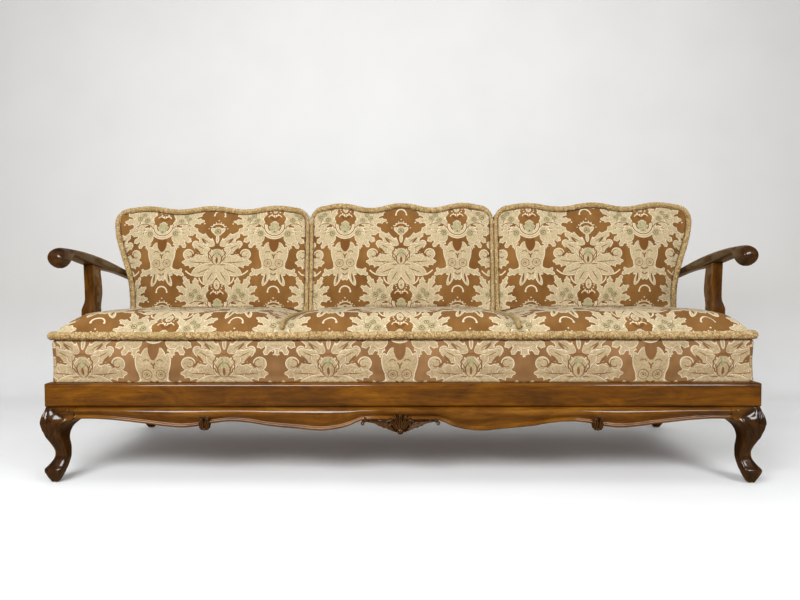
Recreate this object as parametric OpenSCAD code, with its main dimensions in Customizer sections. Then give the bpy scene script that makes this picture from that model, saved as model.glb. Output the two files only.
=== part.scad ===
// Cabriole sofa: a show-wood frame on cabriole legs with a carved apron, an open back frame, two scroll
// arms, one long seat mattress and three loose back cushions trimmed with moss fringe.
// The front faces -Y, X runs along the seat, Z is up, and the origin is on the floor under the middle.
// Inside the modules y = 0 is the front face of the seat box, and centred() moves it to the middle.

/* [Base] */
// Height of the base, from the floor to its flat top
base_h = 222; // [190:1:260]
// Greatest depth of the front apron
apron_deep = 66; // [50:1:90]
// Depth of the aprons where they meet the legs
apron_end_deep = 32; // [24:1:44]
// Distance from the face of the seat box to the back of an apron
apron_t = 30; // [24:1:40]
// How far the apron face bulges in front of the seat box
apron_bulge = 10; // [4:1:16]
// Diameter of the bead along the apron's lower edge
bead_d = 9; // [6:1:12]
// Width of the square block at the top of a leg
leg_block = 94; // [80:1:110]
// How far the knee reaches past the seat box
knee_reach = 15; // [10:1:24]
// Depth of the grooves carved in the front knees
knee_groove = 3; // [0:0.5:5]
// Diameter of a foot glide
glide_d = 21; // [14:1:22]
// Height of a foot glide
glide_h = 3; // [2:0.5:6]
// Half-width of the shell carving
shell_half_w = 97; // [70:1:120]
// Distance from the middle of the apron to each leaf carving
leaf_x = 562; // [300:1:700]
// Width of a leaf carving
leaf_w = 40; // [28:1:60]
// Thickness of a cross rail of the base
cross_rail_t = 28; // [20:1:40]

/* [Seat box] */
// Width of the seat box
box_w = 2060; // [1800:10:2300]
// Depth of the seat box
box_d = 700; // [640:10:800]
// Height of the box rails
rail_h = 70; // [60:1:90]
// Thickness of the front and side rails
rail_t = 28; // [22:1:32]
// Thickness of the rear rail
rear_rail_t = 30; // [24:1:36]
// Radius of the outer edges of the box
edge_r = 10; // [4:1:14]
// Side of the square battens that carry the slats
ledge_w = 20; // [16:1:28]
// Width of a bed slat
slat_w = 70; // [50:1:90]
// Thickness of a bed slat
slat_t = 15; // [12:1:20]
// Number of bed slats in each of the three bays
slats_per_bay = 4; // [3:1:5]
// Length of the short sides of a corner brace
brace_w = 95; // [80:1:110]
// Thickness of a corner brace
brace_t = 20; // [16:1:22]

/* [Arms] */
// Width of an arm post, seen from the front
post_w = 33; // [26:1:38]
// Distance from the box face to the front of an arm post
post_y = 286; // [240:1:330]
// Depth of an arm post at its top
post_d = 52; // [44:1:60]
// Height of the shoulder on the arm post
shoulder_z = 491; // [470:1:520]
// Height of the middle of the scroll knob
knob_z = 658; // [620:1:690]
// Distance from the box face to the middle of the knob
knob_y = 130; // [110:1:150]
// Radius of the scroll knob
knob_r = 32; // [26:1:38]
// Width of the scroll knob
knob_w = 62; // [54:1:76]
// How far the knob stands outside the line of its armrest
knob_out = 4.5; // [0:0.5:8]
// How far an armrest runs on past the front of the back posts' foot
arm_past_back = 70; // [62:1:76]

/* [Back frame] */
// Rake of the back, in degrees
rake = 8; // [4:1:12]
// Distance from the rear face of the box to the front of the back posts
back_set = 80; // [70:1:100]
// Depth of a back post at the seat box
back_post_d = 50; // [44:1:56]
// Width of an end post
end_post_w = 52; // [46:1:60]
// Width of a middle post
mid_post_w = 45; // [36:1:54]
// Distance from the middle of the back to a middle post
mid_post_x = 340; // [320:1:360]
// Mean height of the outer crest rails above the box, along the rake
crest_h = 586; // [560:1:610]
// How much higher the middle crest rail stands
crest_mid_rise = 6; // [0:1:12]
// Rise and fall of the crest rail's wave
crest_wave = 7; // [0:1:12]
// Radius of the crest rail's shoulders
crest_shoulder_r = 55; // [45:1:60]
// Height of a crest rail's section
crest_w = 18; // [16:1:26]
// Thickness of the crest rails and lower back rails
crest_t = 24; // [20:1:28]
// Height of the lower back rails
low_rail_h = 45; // [35:1:60]
// Height of the lower back rails above the box
low_rail_lift = 20; // [10:1:40]
// Width of a back slat
back_slat_w = 48; // [36:1:60]
// Thickness of a back slat
back_slat_t = 10; // [8:1:14]
// Number of back slats in each bay
back_slats_per_bay = 4; // [3:1:5]

/* [Seat mattress] */
// Gap between the mattress border and the side faces of the box, each side
seat_side_gap = 14; // [14:1:80]
// Distance from the box face to the mattress border
seat_inset = 11; // [6:1:20]
// Gap between the mattress border and the back posts
seat_back_gap = 13; // [9:1:49]
// Radius of the mattress corners
seat_corner_r = 18; // [18:1:60]
// Height of the fringe's middle above the seat box
seat_fringe_h = 135; // [110:1:150]
// Height of the crown above the seam
seat_crown = 50; // [35:1:70]
// Depth of the valleys between the three crowned zones
valley_drop = 19; // [5:1:30]
// Distance from the middle to each valley
valley_x = 342; // [330:1:350]
// Diameter of the moss fringe round the mattress
seat_fringe_d = 24; // [16:1:26]
// Diameter of the moss fringe round the back cushions
fringe_d = 21; // [14:1:24]
// Diameter of the fringe strips laid across the seat
strip_d = 18; // [12:1:20]
// Gap from the ends of these strips to the foot of the cushions' fringe
strip_foot_gap = 18.36; // [12:0.01:60]

/* [Back cushions] */
// Height of a cushion from its foot to the crest of its fringe, left, middle and right
cushion_hs = [393, 400, 401]; // [380:1:410]
// Rise and fall of the wave along the top of the cushions, left, middle and right
wave_hs = [6.5, 9, 8]; // [0:0.5:10]
// How far the outer cushions flare past their foot
flare = 71; // [40:1:75]
// Gap between the foot of an outer cushion and the end of the mattress border
cushion_side_gap = 15; // [9:1:34]
// Radius of the cushions' top corners
cushion_corner_r = 52; // [40:1:60]
// Distance from the foot of a cushion's fringe to the front of the back posts
cushion_set = 132; // [128:1:140]
// Depth of the cushion border behind the fringe
border_d = 122; // [100:1:126]
// Height of the front crown
cushion_crown = 44; // [30:1:60]
// How far the middle of the border is drawn in
drawn_in = 5; // [0:1:8]

/* [Fit] */
// Clearance of soft parts to what carries them
soft_gap = 0.4; // [0.3:0.1:1]
// Radial play of bolts, screws and dowels in their holes
bolt_play = 0.1; // [0.05:0.05:0.3]
// Diameter of the bolts
bolt_d = 8; // [6:1:10]
// Length of the bolts
bolt_l = 62; // [60:1:70]
// Diameter of the dowels
dowel_d = 10; // [8:1:12]
// Length of the dowels
dowel_l = 44; // [36:1:50]

/* [Hidden] */

// Colours of the woods, the metal and the fabrics
walnut_amber = "#7a4a17";
walnut_dark = "#4a2a12";
carving_dark = "#3c2210";
beech = "#b98f5c";
zinc = "#b9bcc0";
glide_white = "#d8d4c8";
velour = "#b08a5e";
fringe_gold = "#b99a63";

// Facets of round parts, and how far a cut runs past the wood
round_fn = 32;
overrun = 2;

half_w = box_w / 2;
back_y = box_d - back_set;
cushion_y = back_y - cushion_set;
seat_half = half_w - seat_side_gap;
outer_foot_w = seat_half - valley_x - cushion_side_gap;
box_top = base_h + rail_h;
inner_x = half_w - rail_t;
rear_rail_y = box_d - rear_rail_t;
apron_half = half_w - leg_block;
housing = 12;
apron_land = 4;
rear_apron_t = 22;
rear_apron_set = 12;
shell_hang = 5;
fringe_r = fringe_d / 2;
head_d = 16;
head_h = 5;
insert_d = 14;
insert_l = 18;
screw_d = 5;
screw_head_d = 10;

// Half of an apron's lower edge: share of the half length, then share of the extra depth over its ends
apron_edge_shares = [[0, 0.13], [0.115, 0.13], [0.16, 0.61], [0.2, 0.88], [0.246, 1], [0.32, 0.82],
    [0.406, 0.59], [0.46, 0.34], [0.524, 0.22], [0.578, 0.38], [0.62, 0.61], [0.668, 0.74], [0.717, 0.65],
    [0.775, 0.44], [0.829, 0.26], [0.888, 0.09], [0.941, 0], [1, 0]];
side_edge_shares = [[0, 0.9], [0.16, 0.78], [0.34, 0.24], [0.5, 0.32], [0.64, 0.56], [0.8, 0.24],
    [0.92, 0], [1, 0]];

// The apron's face from its top edge to its bead: share of the depth, then bulge as a share of its reach
face_shares = [[0, -0.15], [0.1, 0.5], [0.26, 0.95], [0.44, 1], [0.66, 0.75], [0.9, 0.2]];
bead_angles = [110, 155, 200, 245, 270];
bead_out_share = 0.22;

// The leg: share of its height, outer reach as a share of the knee's, inner reach as a share of the
// block, squareness, and how far its two side ridges are set back as a share of the block
leg_shares = [[0, -0.62, 0.334, 2, 0], [0.03, -0.34, 0.378, 2, 0], [0.06, -0.08, 0.415, 2.1, 0],
    [0.1, 0.19, 0.461, 2.2, 0], [0.136, 0.41, 0.496, 2.3, 0], [0.175, 0.4, 0.531, 2.4, 0],
    [0.22, -0.17, 0.551, 2.5, 0], [0.3, -0.9, 0.582, 2.5, 0], [0.38, -1.05, 0.59, 2.5, 0.01],
    [0.45, -0.79, 0.594, 2.6, 0.03], [0.54, -0.22, 0.574, 2.8, 0.05], [0.6, 0.21, 0.583, 2.9, 0.07],
    [0.66, 0.51, 0.625, 3, 0.13], [0.72, 0.8, 0.698, 3.2, 0.18], [0.78, 1, 0.83, 3.6, 0.17],
    [0.83, 0.95, 0.95, 4.2, 0.06], [0.88, 0.73, 1, 5, 0], [0.94, 0.32, 1, 6, 0], [1, -0.03, 1, 7, 0]];
side_squareness = 5;
groove_shares = [[0.54, 0], [0.62, 0.5], [0.74, 1], [0.88, 0.8], [1, 0.15]];

// The armrest: share of its length, top and bottom in shares of the knob's radius about the knob's
// middle, width past the post's as a share of the knob's, and how far its section is squared
arm_shares = [[0, 0.22, -0.22, -0.08, 0], [0.008, 0.55, -0.52, 0.38, 0], [0.024, 0.82, -0.78, 0.755, 0],
    [0.042, 0.95, -0.93, 0.935, 0], [0.058, 1, -1, 1, 0], [0.074, 1.01, -0.92, 0.95, 0],
    [0.09, 1, -0.62, 0.8, 0.1], [0.105, 0.99, -0.16, 0.64, 0.3], [0.12, 0.97, 0.14, 0.54, 0.5],
    [0.16, 0.93, 0.06, 0.51, 0.8], [0.22, 0.84, -0.16, 0.525, 1], [0.3, 0.68, -0.44, 0.54, 1],
    [0.41, 0.4, -0.8, 0.477, 1], [0.5, 0.1, -1.03, 0.345, 1], [0.6, -0.28, -1.22, 0.117, 1],
    [0.7, -0.7, -1.5, 0, 1], [0.85, -1.3, -2.03, 0, 1], [0.985, -1.86, -2.52, 0, 1],
    [1, -1.95, -2.46, -0.05, 1]];
arm_section_shares = [[0.85, -1], [1, -0.7], [1, 0.3], [0.93, 0.62], [0.72, 0.86], [0.4, 0.97], [0, 1],
    [-0.4, 0.97], [-0.72, 0.86], [-0.93, 0.62], [-1, 0.3], [-1, -0.7], [-0.85, -1]];
arm_angles = [-70, -35, 0, 26, 48, 68, 90, 112, 132, 154, 180, 215, 250];

// The arm post above its shoulder: share of the height, front set-back and rear reach as shares of the
// post's depth, and outer swell as a share of its width
post_shares = [[0, 0, 1, 0.3], [0.06, 0.02, 0.99, 0.2], [0.2, 0.06, 1.06, 0], [0.42, 0.08, 1.2, 0],
    [0.66, 0.05, 1.14, 0], [0.86, 0.01, 1.03, 0], [1, 0, 1, 0]];

// Places of the mattress columns up to a valley and from there to the corner, and of its rows
inner_column_shares = [0.22, 0.44, 0.64, 0.8, 0.92, 1];
outer_column_shares = [0.05, 0.12, 0.24, 0.4, 0.56, 0.7, 0.82, 0.91, 0.97, 1];
row_shares = [0, 0.02, 0.06, 0.14, 0.28, 0.5, 0.65, 0.78, 0.88, 0.95, 1];
corner_angles = [45, 90];

// Rings of a back cushion: inset of the outline, as a share of the way to its middle, and crown share
front_ring_shares = [[0.78, 1], [0.52, 0.86], [0.3, 0.6], [0.13, 0.3]];
rear_ring_shares = [[0.12, 0.5], [0.35, 0.85], [0.7, 1]];

// The box-shaped middle of the whole sofa in depth
crest_top = crest_h + crest_mid_rise + crest_wave;
rear_reach = max(box_d + knee_reach, back_y + crest_top * sin(rake) + crest_t * cos(rake));
mid_y = (rear_reach - knee_reach) / 2;

// Table row that starts the stretch holding place v
function row_at(t, v, i = 0) = i >= len(t) - 2 || v < t[i + 1][0] ? i : row_at(t, v, i + 1);

// Slope of column k at row i of table t
function slope_at(t, i, k) =
    let (a = max(i - 1, 0), b = min(i + 1, len(t) - 1)) (t[b][k] - t[a][k]) / (t[b][0] - t[a][0]);

// Smooth value of column k of table t at place v
function smooth_at(t, v, k = 1) =
    let (i = row_at(t, v), a = t[i], b = t[i + 1], w = b[0] - a[0], u = min(max((v - a[0]) / w, 0), 1))
    a[k] * (1 + 2 * u) * (1 - u) * (1 - u) + b[k] * u * u * (3 - 2 * u)
    + slope_at(t, i, k) * w * u * (1 - u) * (1 - u) + slope_at(t, i + 1, k) * w * u * u * (u - 1);

// Signed power, for squared-off rounds
function spow(v, e) = v < 0 ? -pow(-v, e) : pow(v, e);

// Ease from 0 to 1
function ease(u) = let (c = min(max(u, 0), 1)) c * c * (3 - 2 * c);

function mean(ps) = [for (k = [0:2]) ([for (p = ps) 1] * [for (p = ps) p[k]]) / len(ps)];

// Closed skin through rings of equally many points, closed at both ends
module loft(rings) {
    n = len(rings[0]);
    m = len(rings);
    first = n * m;
    sides = [for (j = [0:m - 2], i = [0:n - 1])
        let (a = j * n + i, b = j * n + (i + 1) % n) each [[a, b + n, b], [a, a + n, b + n]]];
    ends = [for (i = [0:n - 1])
        let (j = (i + 1) % n, z = n * (m - 1)) each [[first, i, j], [first + 1, z + j, z + i]]];
    polyhedron(concat([for (r = rings) each r], [mean(rings[0]), mean(rings[m - 1])]), concat(sides, ends));
}

// Size of a fringe's ends as a share of its radius
tip_share = 0.6;

// Tube of n sides along points in the plane spanned by axes u and v, with pointed-round ends
function tube_rings(path, side, r, n) = [for (i = [0:len(path) - 1])
    let (a = path[max(i - 1, 0)], b = path[min(i + 1, len(path) - 1)], d = (b - a) / norm(b - a),
        w = cross(d, side), k = i == 0 || i == len(path) - 1 ? tip_share : 1)
    [for (j = [0:n - 1]) path[i] + k * r * (cos(360 * (j + 0.5) / n) * side + sin(360 * (j + 0.5) / n) * w)]];

// Moves the model from the box's front face to the middle of its depth
module centred() translate([0, -mid_y, 0]) children();

// Turns what is drawn for the right side over to the given side
module mirrored(side) mirror([side < 0 ? 1 : 0, 0, 0]) children();

// Lays an extrusion made in X and Z from y = 0 towards the back
module upright(t) translate([0, t, 0]) rotate([90, 0, 0]) linear_extrude(t) children();

// Extrudes an outline of Y and Z along X, from x0 over w
module along_x(x0, w) translate([x0, 0, 0]) rotate([90, 0, 90]) linear_extrude(w) children();

// Rectangle with round corners, from its low corner
module round_rect(w, h, r) {
    translate([r, 0]) square([w - 2 * r, h]);
    translate([0, r]) square([w, h - 2 * r]);
    for (x = [r, w - r], y = [r, h - r]) translate([x, y]) circle(r, $fn = round_fn);
}

// Rod along Z
module rod(d, l) cylinder(d = d, h = l, $fn = round_fn);

// Depth of an apron's lower edge at x
function apron_drop(x, half, shares) =
    apron_end_deep + (apron_deep - apron_end_deep) * smooth_at(shares, min(abs(x) / half, 1));

// Section of an apron at one place, as points of Y and Z
function apron_section(drop) =
    let (r = bead_d / 2, run = drop - bead_d)
    concat([[apron_t, base_h]],
        [for (f = face_shares) [-apron_bulge * f[1], base_h - run * f[0]]],
        [for (a = bead_angles) [r * cos(a) - bead_d * bead_out_share, base_h - drop + r * (1 + sin(a))]],
        [[apron_t, base_h - drop + r]]);

module apron_loft(half, shares, steps) {
    reach = half + housing;
    stations = concat([-reach], [for (i = [0:steps]) half * (2 * i / steps - 1)], [reach]);
    loft([for (x = stations) [for (p = apron_section(apron_drop(x, half, shares))) [x, p[0], p[1]]]]);
}

shell_top_z = base_h - apron_land;
carving_t = 12;
carving_y = 6;
curl_d = 13;

module carving_pocket(x, w) translate([x - w / 2, -knee_reach, 0])
    cube([w, knee_reach + carving_y, shell_top_z]);

module front_apron() color(walnut_dark) centred() difference() {
    apron_loft(apron_half, apron_edge_shares, 72);
    carving_pocket(0, 2 * (shell_half_w + curl_d));
    for (side = [-1, 1]) carving_pocket(side * leaf_x, leaf_w);
}

module rear_apron() color(walnut_dark) centred()
    translate([-apron_half - housing, box_d - rear_apron_set - rear_apron_t, base_h - apron_end_deep])
    cube([2 * (apron_half + housing), rear_apron_t, apron_end_deep]);

side_half = box_d / 2 - leg_block;

module side_apron(side) centred() translate([side * half_w, box_d / 2, 0])
    rotate([0, 0, side * 90]) apron_loft(side_half, side_edge_shares, 30);

module left_apron() color(walnut_dark) side_apron(-1);
module right_apron() color(walnut_dark) side_apron(1);

// One ring of a leg, with its outer corner towards -X and -Y and the box corner at the origin
function leg_ring(share, n, groove) =
    let (o = -knee_reach * smooth_at(leg_shares, share, 1), i = leg_block * smooth_at(leg_shares, share, 2),
        q = smooth_at(leg_shares, share, 3), set = leg_block * smooth_at(leg_shares, share, 4),
        c = (o + i) / 2, s = (i - o) / 2, g = groove * smooth_at(groove_shares, max(share, groove_shares[0][0])))
    [for (k = [0:n - 1])
        let (t = 360 * k / n, a = 225 + t, e = 2 / (q + max(side_squareness - q, 0) * sin(t) * sin(t)),
            near = k < n / 6 || k > 5 * n / 6, cut = near && k % 2 == 1 ? g : 0,
            x = spow(cos(a), e), y = spow(sin(a), e))
        [c + (s - cut) * x - set * max(x, 0) * (1 - y) / 2, c + (s - cut) * y - set * max(y, 0) * (1 - x) / 2,
            glide_h + (base_h - glide_h) * share]];

module leg_blank(n, groove) loft([for (row = leg_shares) leg_ring(row[0], n, groove)]);

module end_section(t) linear_extrude(t) polygon(apron_section(apron_end_deep));

// Puts a leg's own frame at a corner of the box
module at_corner(side, rear) translate([side * half_w, rear ? box_d : 0, 0])
    mirror([side > 0 ? 1 : 0, 0, 0]) mirror([0, rear ? 1 : 0, 0]) children();

leg_bolt_at = 62;
leg_bolt_bite = bolt_l - brace_t + bolt_play;
foot_at = (leg_block * leg_shares[0][2] - knee_reach * leg_shares[0][1]) / 2;

module front_leg(side) centred() at_corner(side, false) difference() {
    leg_blank(24, knee_groove);
    translate([leg_block - housing, 0, 0]) rotate([90, 0, 90]) end_section(leg_block);
    mirror([1, -1, 0]) translate([leg_block - housing, 0, 0]) rotate([90, 0, 90]) end_section(leg_block);
    translate([leg_bolt_at, leg_bolt_at, base_h - leg_bolt_bite]) rod(bolt_d + 2 * bolt_play, leg_block);
}

module rear_leg(side) centred() at_corner(side, true) difference() {
    leg_blank(16, 0);
    translate([leg_block - housing, rear_apron_set, base_h - apron_end_deep])
        cube([leg_block, rear_apron_t, apron_end_deep + overrun]);
    mirror([1, -1, 0]) translate([leg_block - housing, 0, 0]) rotate([90, 0, 90]) end_section(leg_block);
    translate([leg_bolt_at, leg_bolt_at, base_h - leg_bolt_bite]) rod(bolt_d + 2 * bolt_play, leg_block);
}

module front_left_leg() color(walnut_dark) front_leg(-1);
module front_right_leg() color(walnut_dark) front_leg(1);
module rear_left_leg() color(walnut_dark) rear_leg(-1);
module rear_right_leg() color(walnut_dark) rear_leg(1);

module foot_glides() color(glide_white) centred()
    for (side = [-1, 1], rear = [false, true]) at_corner(side, rear)
        translate([foot_at, foot_at, 0]) rod(glide_d, glide_h);

// One carved leaf or rib standing on Z, its round face to the front: share of length, width, thickness
petal_shares = [[0, 0.35, 0.4], [0.16, 0.7, 0.85], [0.45, 1, 1], [0.72, 0.86, 0.95], [0.9, 0.5, 0.6],
    [1, 0.15, 0.2]];
petal_sink = 0.5;
petal_section_shares = [[-0.5, 0], [-0.3, -0.8], [0, -1], [0.3, -0.8], [0.5, 0], [0, 0.2]];

module petal(l, w, t) loft([for (r = petal_shares)
    [for (p = petal_section_shares) [p[0] * w * r[1], p[1] * t * r[2], l * r[0]]]]);

// A petal that starts at x, z on the carving's plate and points at an angle from the vertical
module petal_at(x, z, angle, l, w, t) translate([x, carving_y - carving_t + petal_sink, z])
    rotate([0, angle, 0]) petal(l, w, t);

shell_base_z = base_h - apron_deep - shell_hang;
rib_l = 50;
rib_w = 11;
rib_t = 6;
leaf_l = 82;
fan_angle = 64;
fan_step = 16;
fan_shrink_share = 0.07;
sprig_angles = [-24, -8, 8, 24];
sprig_l_share = 0.72;

// The leaves beside the shell: place in shares of a rib's width, angle, and shares of length and thickness
side_petal_shares = [[1, 0, 74, 1, 0.9], [3, 1, 62, 0.7, 0.8]];
shell_plate_shares = [[-1, 0.48], [-0.8, 0.44], [-0.5, 0.26], [-0.22, 0.05], [0, 0], [0.22, 0.05],
    [0.5, 0.26], [0.8, 0.44], [1, 0.48], [1, 1], [-1, 1]];
leaf_plate_shares = [[-0.5, 0.35], [-0.16, 0], [0.16, 0], [0.5, 0.35], [0.5, 1], [-0.5, 1]];

module curl(x, z) translate([x, carving_y, z]) rotate([90, 0, 0]) {
    rod(curl_d, carving_t);
    rod(curl_d / 2, carving_t + rib_t / 2);
}

module shell_carving() color(carving_dark) centred() {
    plate_w = shell_half_w + curl_d;
    plate_h = shell_top_z - shell_base_z;
    translate([0, carving_y - carving_t, 0]) upright(carving_t)
        polygon([for (p = shell_plate_shares) [p[0] * plate_w, shell_base_z + p[1] * plate_h]]);
    for (a = [-fan_angle:fan_step:fan_angle])
        petal_at(0, shell_base_z, a, rib_l * (1 - fan_shrink_share * abs(a) / fan_angle), rib_w, rib_t);
    for (side = [-1, 1]) {
        for (p = side_petal_shares)
            petal_at(side * rib_w * p[0], shell_base_z + rib_w * p[1], side * p[2], leaf_l * p[3], rib_w, rib_t * p[4]);
        curl(side * (shell_half_w + curl_d / 2), base_h - apron_end_deep - curl_d / 2);
    }
    petal_at(0, shell_base_z + rib_w, 180, rib_w, rib_w, rib_t);
}

module leaf_carvings() color(carving_dark) centred() for (side = [-1, 1]) {
    low = base_h - apron_deep;
    translate([side * leaf_x, carving_y - carving_t, 0]) upright(carving_t)
        polygon([for (p = leaf_plate_shares) [p[0] * leaf_w, low + p[1] * (shell_top_z - low)]]);
    for (a = sprig_angles) petal_at(side * leaf_x, low, a, rib_l * sprig_l_share, rib_w, rib_t);
}

module base_cross_rails() color(beech) centred() for (side = [-1, 1])
    translate([side * mid_post_x - cross_rail_t / 2, apron_t, base_h - apron_end_deep])
        cube([cross_rail_t, box_d - rear_apron_set - rear_apron_t - apron_t, apron_end_deep]);

module corner_braces() color(beech) centred() for (side = [-1, 1], rear = [false, true]) {
    in = rear ? rear_rail_t : rail_t;
    at_corner(side, rear) translate([0, 0, base_h]) difference() {
        linear_extrude(brace_t) polygon([[rail_t, in], [rail_t + brace_w, in], [rail_t, in + brace_w]]);
        translate([leg_bolt_at, leg_bolt_at, -overrun]) rod(bolt_d + 2 * bolt_play, brace_t + 2 * overrun);
    }
}

// Hexagon-headed bolt along -Z, the underside of its head at z = 0
module bolt(l) {
    translate([0, 0, -l]) rod(bolt_d, l + head_h / 2);
    cylinder(d = head_d, h = head_h, $fn = 6);
}

module leg_bolts() color(zinc) centred() for (side = [-1, 1], rear = [false, true])
    at_corner(side, rear) translate([leg_bolt_at, leg_bolt_at, base_h + brace_t]) bolt(bolt_l);

// A rail lying along X with its face at y = 0 and the given corners rounded
module face_rail(t) intersection() {
    translate([-half_w, 0, base_h]) rotate([90, 0, 90]) linear_extrude(box_w) face_edge(t);
    translate([-half_w, t, base_h]) rotate([90, 0, 0]) linear_extrude(t) round_rect(box_w, rail_h, edge_r);
    translate([-half_w, 0, base_h]) linear_extrude(rail_h) {
        translate([edge_r, 0]) square([box_w - 2 * edge_r, t]);
        translate([0, edge_r]) square([box_w, t - edge_r]);
        for (x = [edge_r, box_w - edge_r]) translate([x, edge_r]) circle(edge_r, $fn = round_fn);
    }
}

// Section of a rail with round outer edges, its face at x = 0
module face_edge(t) {
    translate([edge_r, 0]) square([t - edge_r, rail_h]);
    translate([0, edge_r]) square([t, rail_h - 2 * edge_r]);
    for (z = [edge_r, rail_h - edge_r]) translate([edge_r, z]) circle(edge_r, $fn = round_fn);
}

dowel_in = 16;
dowel_zs = [base_h + rail_h / 4, base_h + 3 * rail_h / 4];
hole_d = bolt_d + 2 * bolt_play;
dowel_hole_d = dowel_d + 2 * bolt_play;

// Cylinders of diameter d in the corners of the box, longer than the dowels by extra at each end
module corner_pins(d, extra) for (side = [-1, 1], z = dowel_zs, y = [rail_t - dowel_in,
    rear_rail_y + dowel_in - dowel_l])
    translate([side * (half_w - rail_t / 2), y - extra, z]) rotate([-90, 0, 0]) rod(d, dowel_l + 2 * extra);

module box_dowels() color(beech) centred() corner_pins(dowel_d, 0);

module box_front_rail() color(walnut_amber) centred() difference() {
    face_rail(rail_t);
    corner_pins(dowel_hole_d, bolt_play);
}

back_bolt_zs = [base_h + rail_h / 2, base_h + 5 * rail_h / 6];
back_bolt_xs = [half_w - rail_t - (end_post_w - rail_t) / 2, mid_post_x];

module back_bolt_places() for (side = [-1, 1], x = back_bolt_xs, z = back_bolt_zs)
    translate([side * x, box_d, z]) rotate([-90, 0, 0]) children();

module box_rear_rail() color(walnut_amber) centred() difference() {
    translate([0, box_d, 0]) mirror([0, 1, 0]) face_rail(rear_rail_t);
    corner_pins(dowel_hole_d, bolt_play);
    back_bolt_places() translate([0, 0, -box_d]) rod(hole_d, box_d + overrun);
}

arm_bolt_y = post_y + post_d / 2;
arm_bolt_zs = [base_h + 3 * rail_h / 10, base_h + 7 * rail_h / 10];

// Places of the arm bolts: Z points into the box from the inner face of a side rail
module arm_bolt_places(side) for (z = arm_bolt_zs)
    translate([side * inner_x, arm_bolt_y, z]) rotate([0, -side * 90, 0]) children();

module side_rail(side) centred() difference() {
    translate([side * half_w, rail_t, base_h]) mirror([side > 0 ? 1 : 0, 0, 0])
        translate([0, rear_rail_y - rail_t, 0]) rotate([90, 0, 0])
        linear_extrude(rear_rail_y - rail_t) face_edge(rail_t);
    corner_pins(dowel_hole_d, bolt_play);
    arm_bolt_places(side) translate([0, 0, -rail_t - overrun]) rod(hole_d, rail_t + 2 * overrun);
}

module box_left_rail() color(walnut_amber) side_rail(-1);
module box_right_rail() color(walnut_amber) side_rail(1);

ledge_z = box_top - slat_t - ledge_w;

module front_slat_ledge() color(beech) centred()
    translate([-inner_x, rail_t, ledge_z]) cube([2 * inner_x, ledge_w, ledge_w]);

// Low ends and widths of the three bays between the back posts
outer_bay_w = half_w - end_post_w - mid_post_x - mid_post_w / 2;
mid_bay_w = 2 * mid_post_x - mid_post_w;
bays = [[-half_w + end_post_w, outer_bay_w], [-mid_bay_w / 2, mid_bay_w],
    [mid_post_x + mid_post_w / 2, outer_bay_w]];

module rear_slat_ledges() color(beech) centred() for (b = bays)
    translate([b[0], rear_rail_y - ledge_w, ledge_z]) cube([b[1], ledge_w, ledge_w]);

module bed_slats() color(beech) centred() for (b = bays, k = [0:slats_per_bay - 1])
    translate([b[0] + b[1] * (k + 0.5) / slats_per_bay - slat_w / 2, rail_t + soft_gap, box_top - slat_t])
        cube([slat_w, rear_rail_y - rail_t - 2 * soft_gap, slat_t]);

// The armrest: its length runs from the front of the knob
arm_y0 = knob_y - knob_r;
arm_l = back_y + arm_past_back - arm_y0;
arm_x = half_w + post_w / 2;
arm_margin = 6;
function arm_share(y) = (y - arm_y0) / arm_l;
arm_flat_shares = [arm_share(post_y - arm_margin), arm_share(post_y + post_d + arm_margin)];
arm_station_shares = concat([for (r = arm_shares) if (r[0] < arm_flat_shares[0]) r[0]], arm_flat_shares,
    [for (r = arm_shares) if (r[0] > arm_flat_shares[1]) r[0]]);

function arm_ring(s) =
    let (top = knob_z + knob_r * smooth_at(arm_shares, s, 1), low = knob_z + knob_r * smooth_at(arm_shares, s, 2),
        wide = smooth_at(arm_shares, s, 3), hw = post_w / 2 + (knob_w - post_w) / 2 * wide,
        shift = knob_out * max(wide, 0), sq = smooth_at(arm_shares, s, 4), mid = (top + low) / 2, hh = (top - low) / 2)
    [for (i = [len(arm_angles) - 1:-1:0])
        let (p = arm_section_shares[i], a = arm_angles[i])
        [hw * (sq * p[0] + (1 - sq) * cos(a)) + shift, arm_y0 + arm_l * s,
            mid + hh * (sq * p[1] + (1 - sq) * sin(a))]];

// Underside of the armrest over the post, a straight line between two stations
function arm_under(y) =
    let (a = arm_flat_shares[0], b = arm_flat_shares[1], u = (arm_share(y) - a) / (b - a))
    knob_z + knob_r * (smooth_at(arm_shares, a, 2) * (1 - u) + smooth_at(arm_shares, b, 2) * u);

dowel_in_arm = 18;
arm_dowel_ys = [post_y + post_d / 4, post_y + 3 * post_d / 4];

module arm_dowel_pins(side, d, extra) for (y = arm_dowel_ys)
    translate([side * arm_x, y, arm_under(y) + dowel_in_arm - dowel_l - extra]) rod(d, dowel_l + 2 * extra);

// Depth of a back post at height h along the rake
crest_foot = 12;
end_post_h = crest_h - crest_shoulder_r - crest_foot;
function post_depth(h) = back_post_d + (crest_t - back_post_d) * min(h / end_post_h, 1);

// The screw that holds an armrest to its end post, through the post from its inner face
arm_screw_share = 0.975;
screw_z = knob_z + knob_r * (smooth_at(arm_shares, arm_screw_share, 1) + smooth_at(arm_shares, arm_screw_share, 2)) / 2;
screw_h = (screw_z - box_top) / cos(rake);
screw_y = back_y + screw_h * sin(rake) + post_depth(screw_h) / 2;
screw_bite_share = 0.7;
screw_l = end_post_w + post_w * screw_bite_share;

module screw_place(side) translate([side * (half_w - end_post_w), screw_y, screw_z])
    rotate([0, -side * 90, 0]) children();

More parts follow.
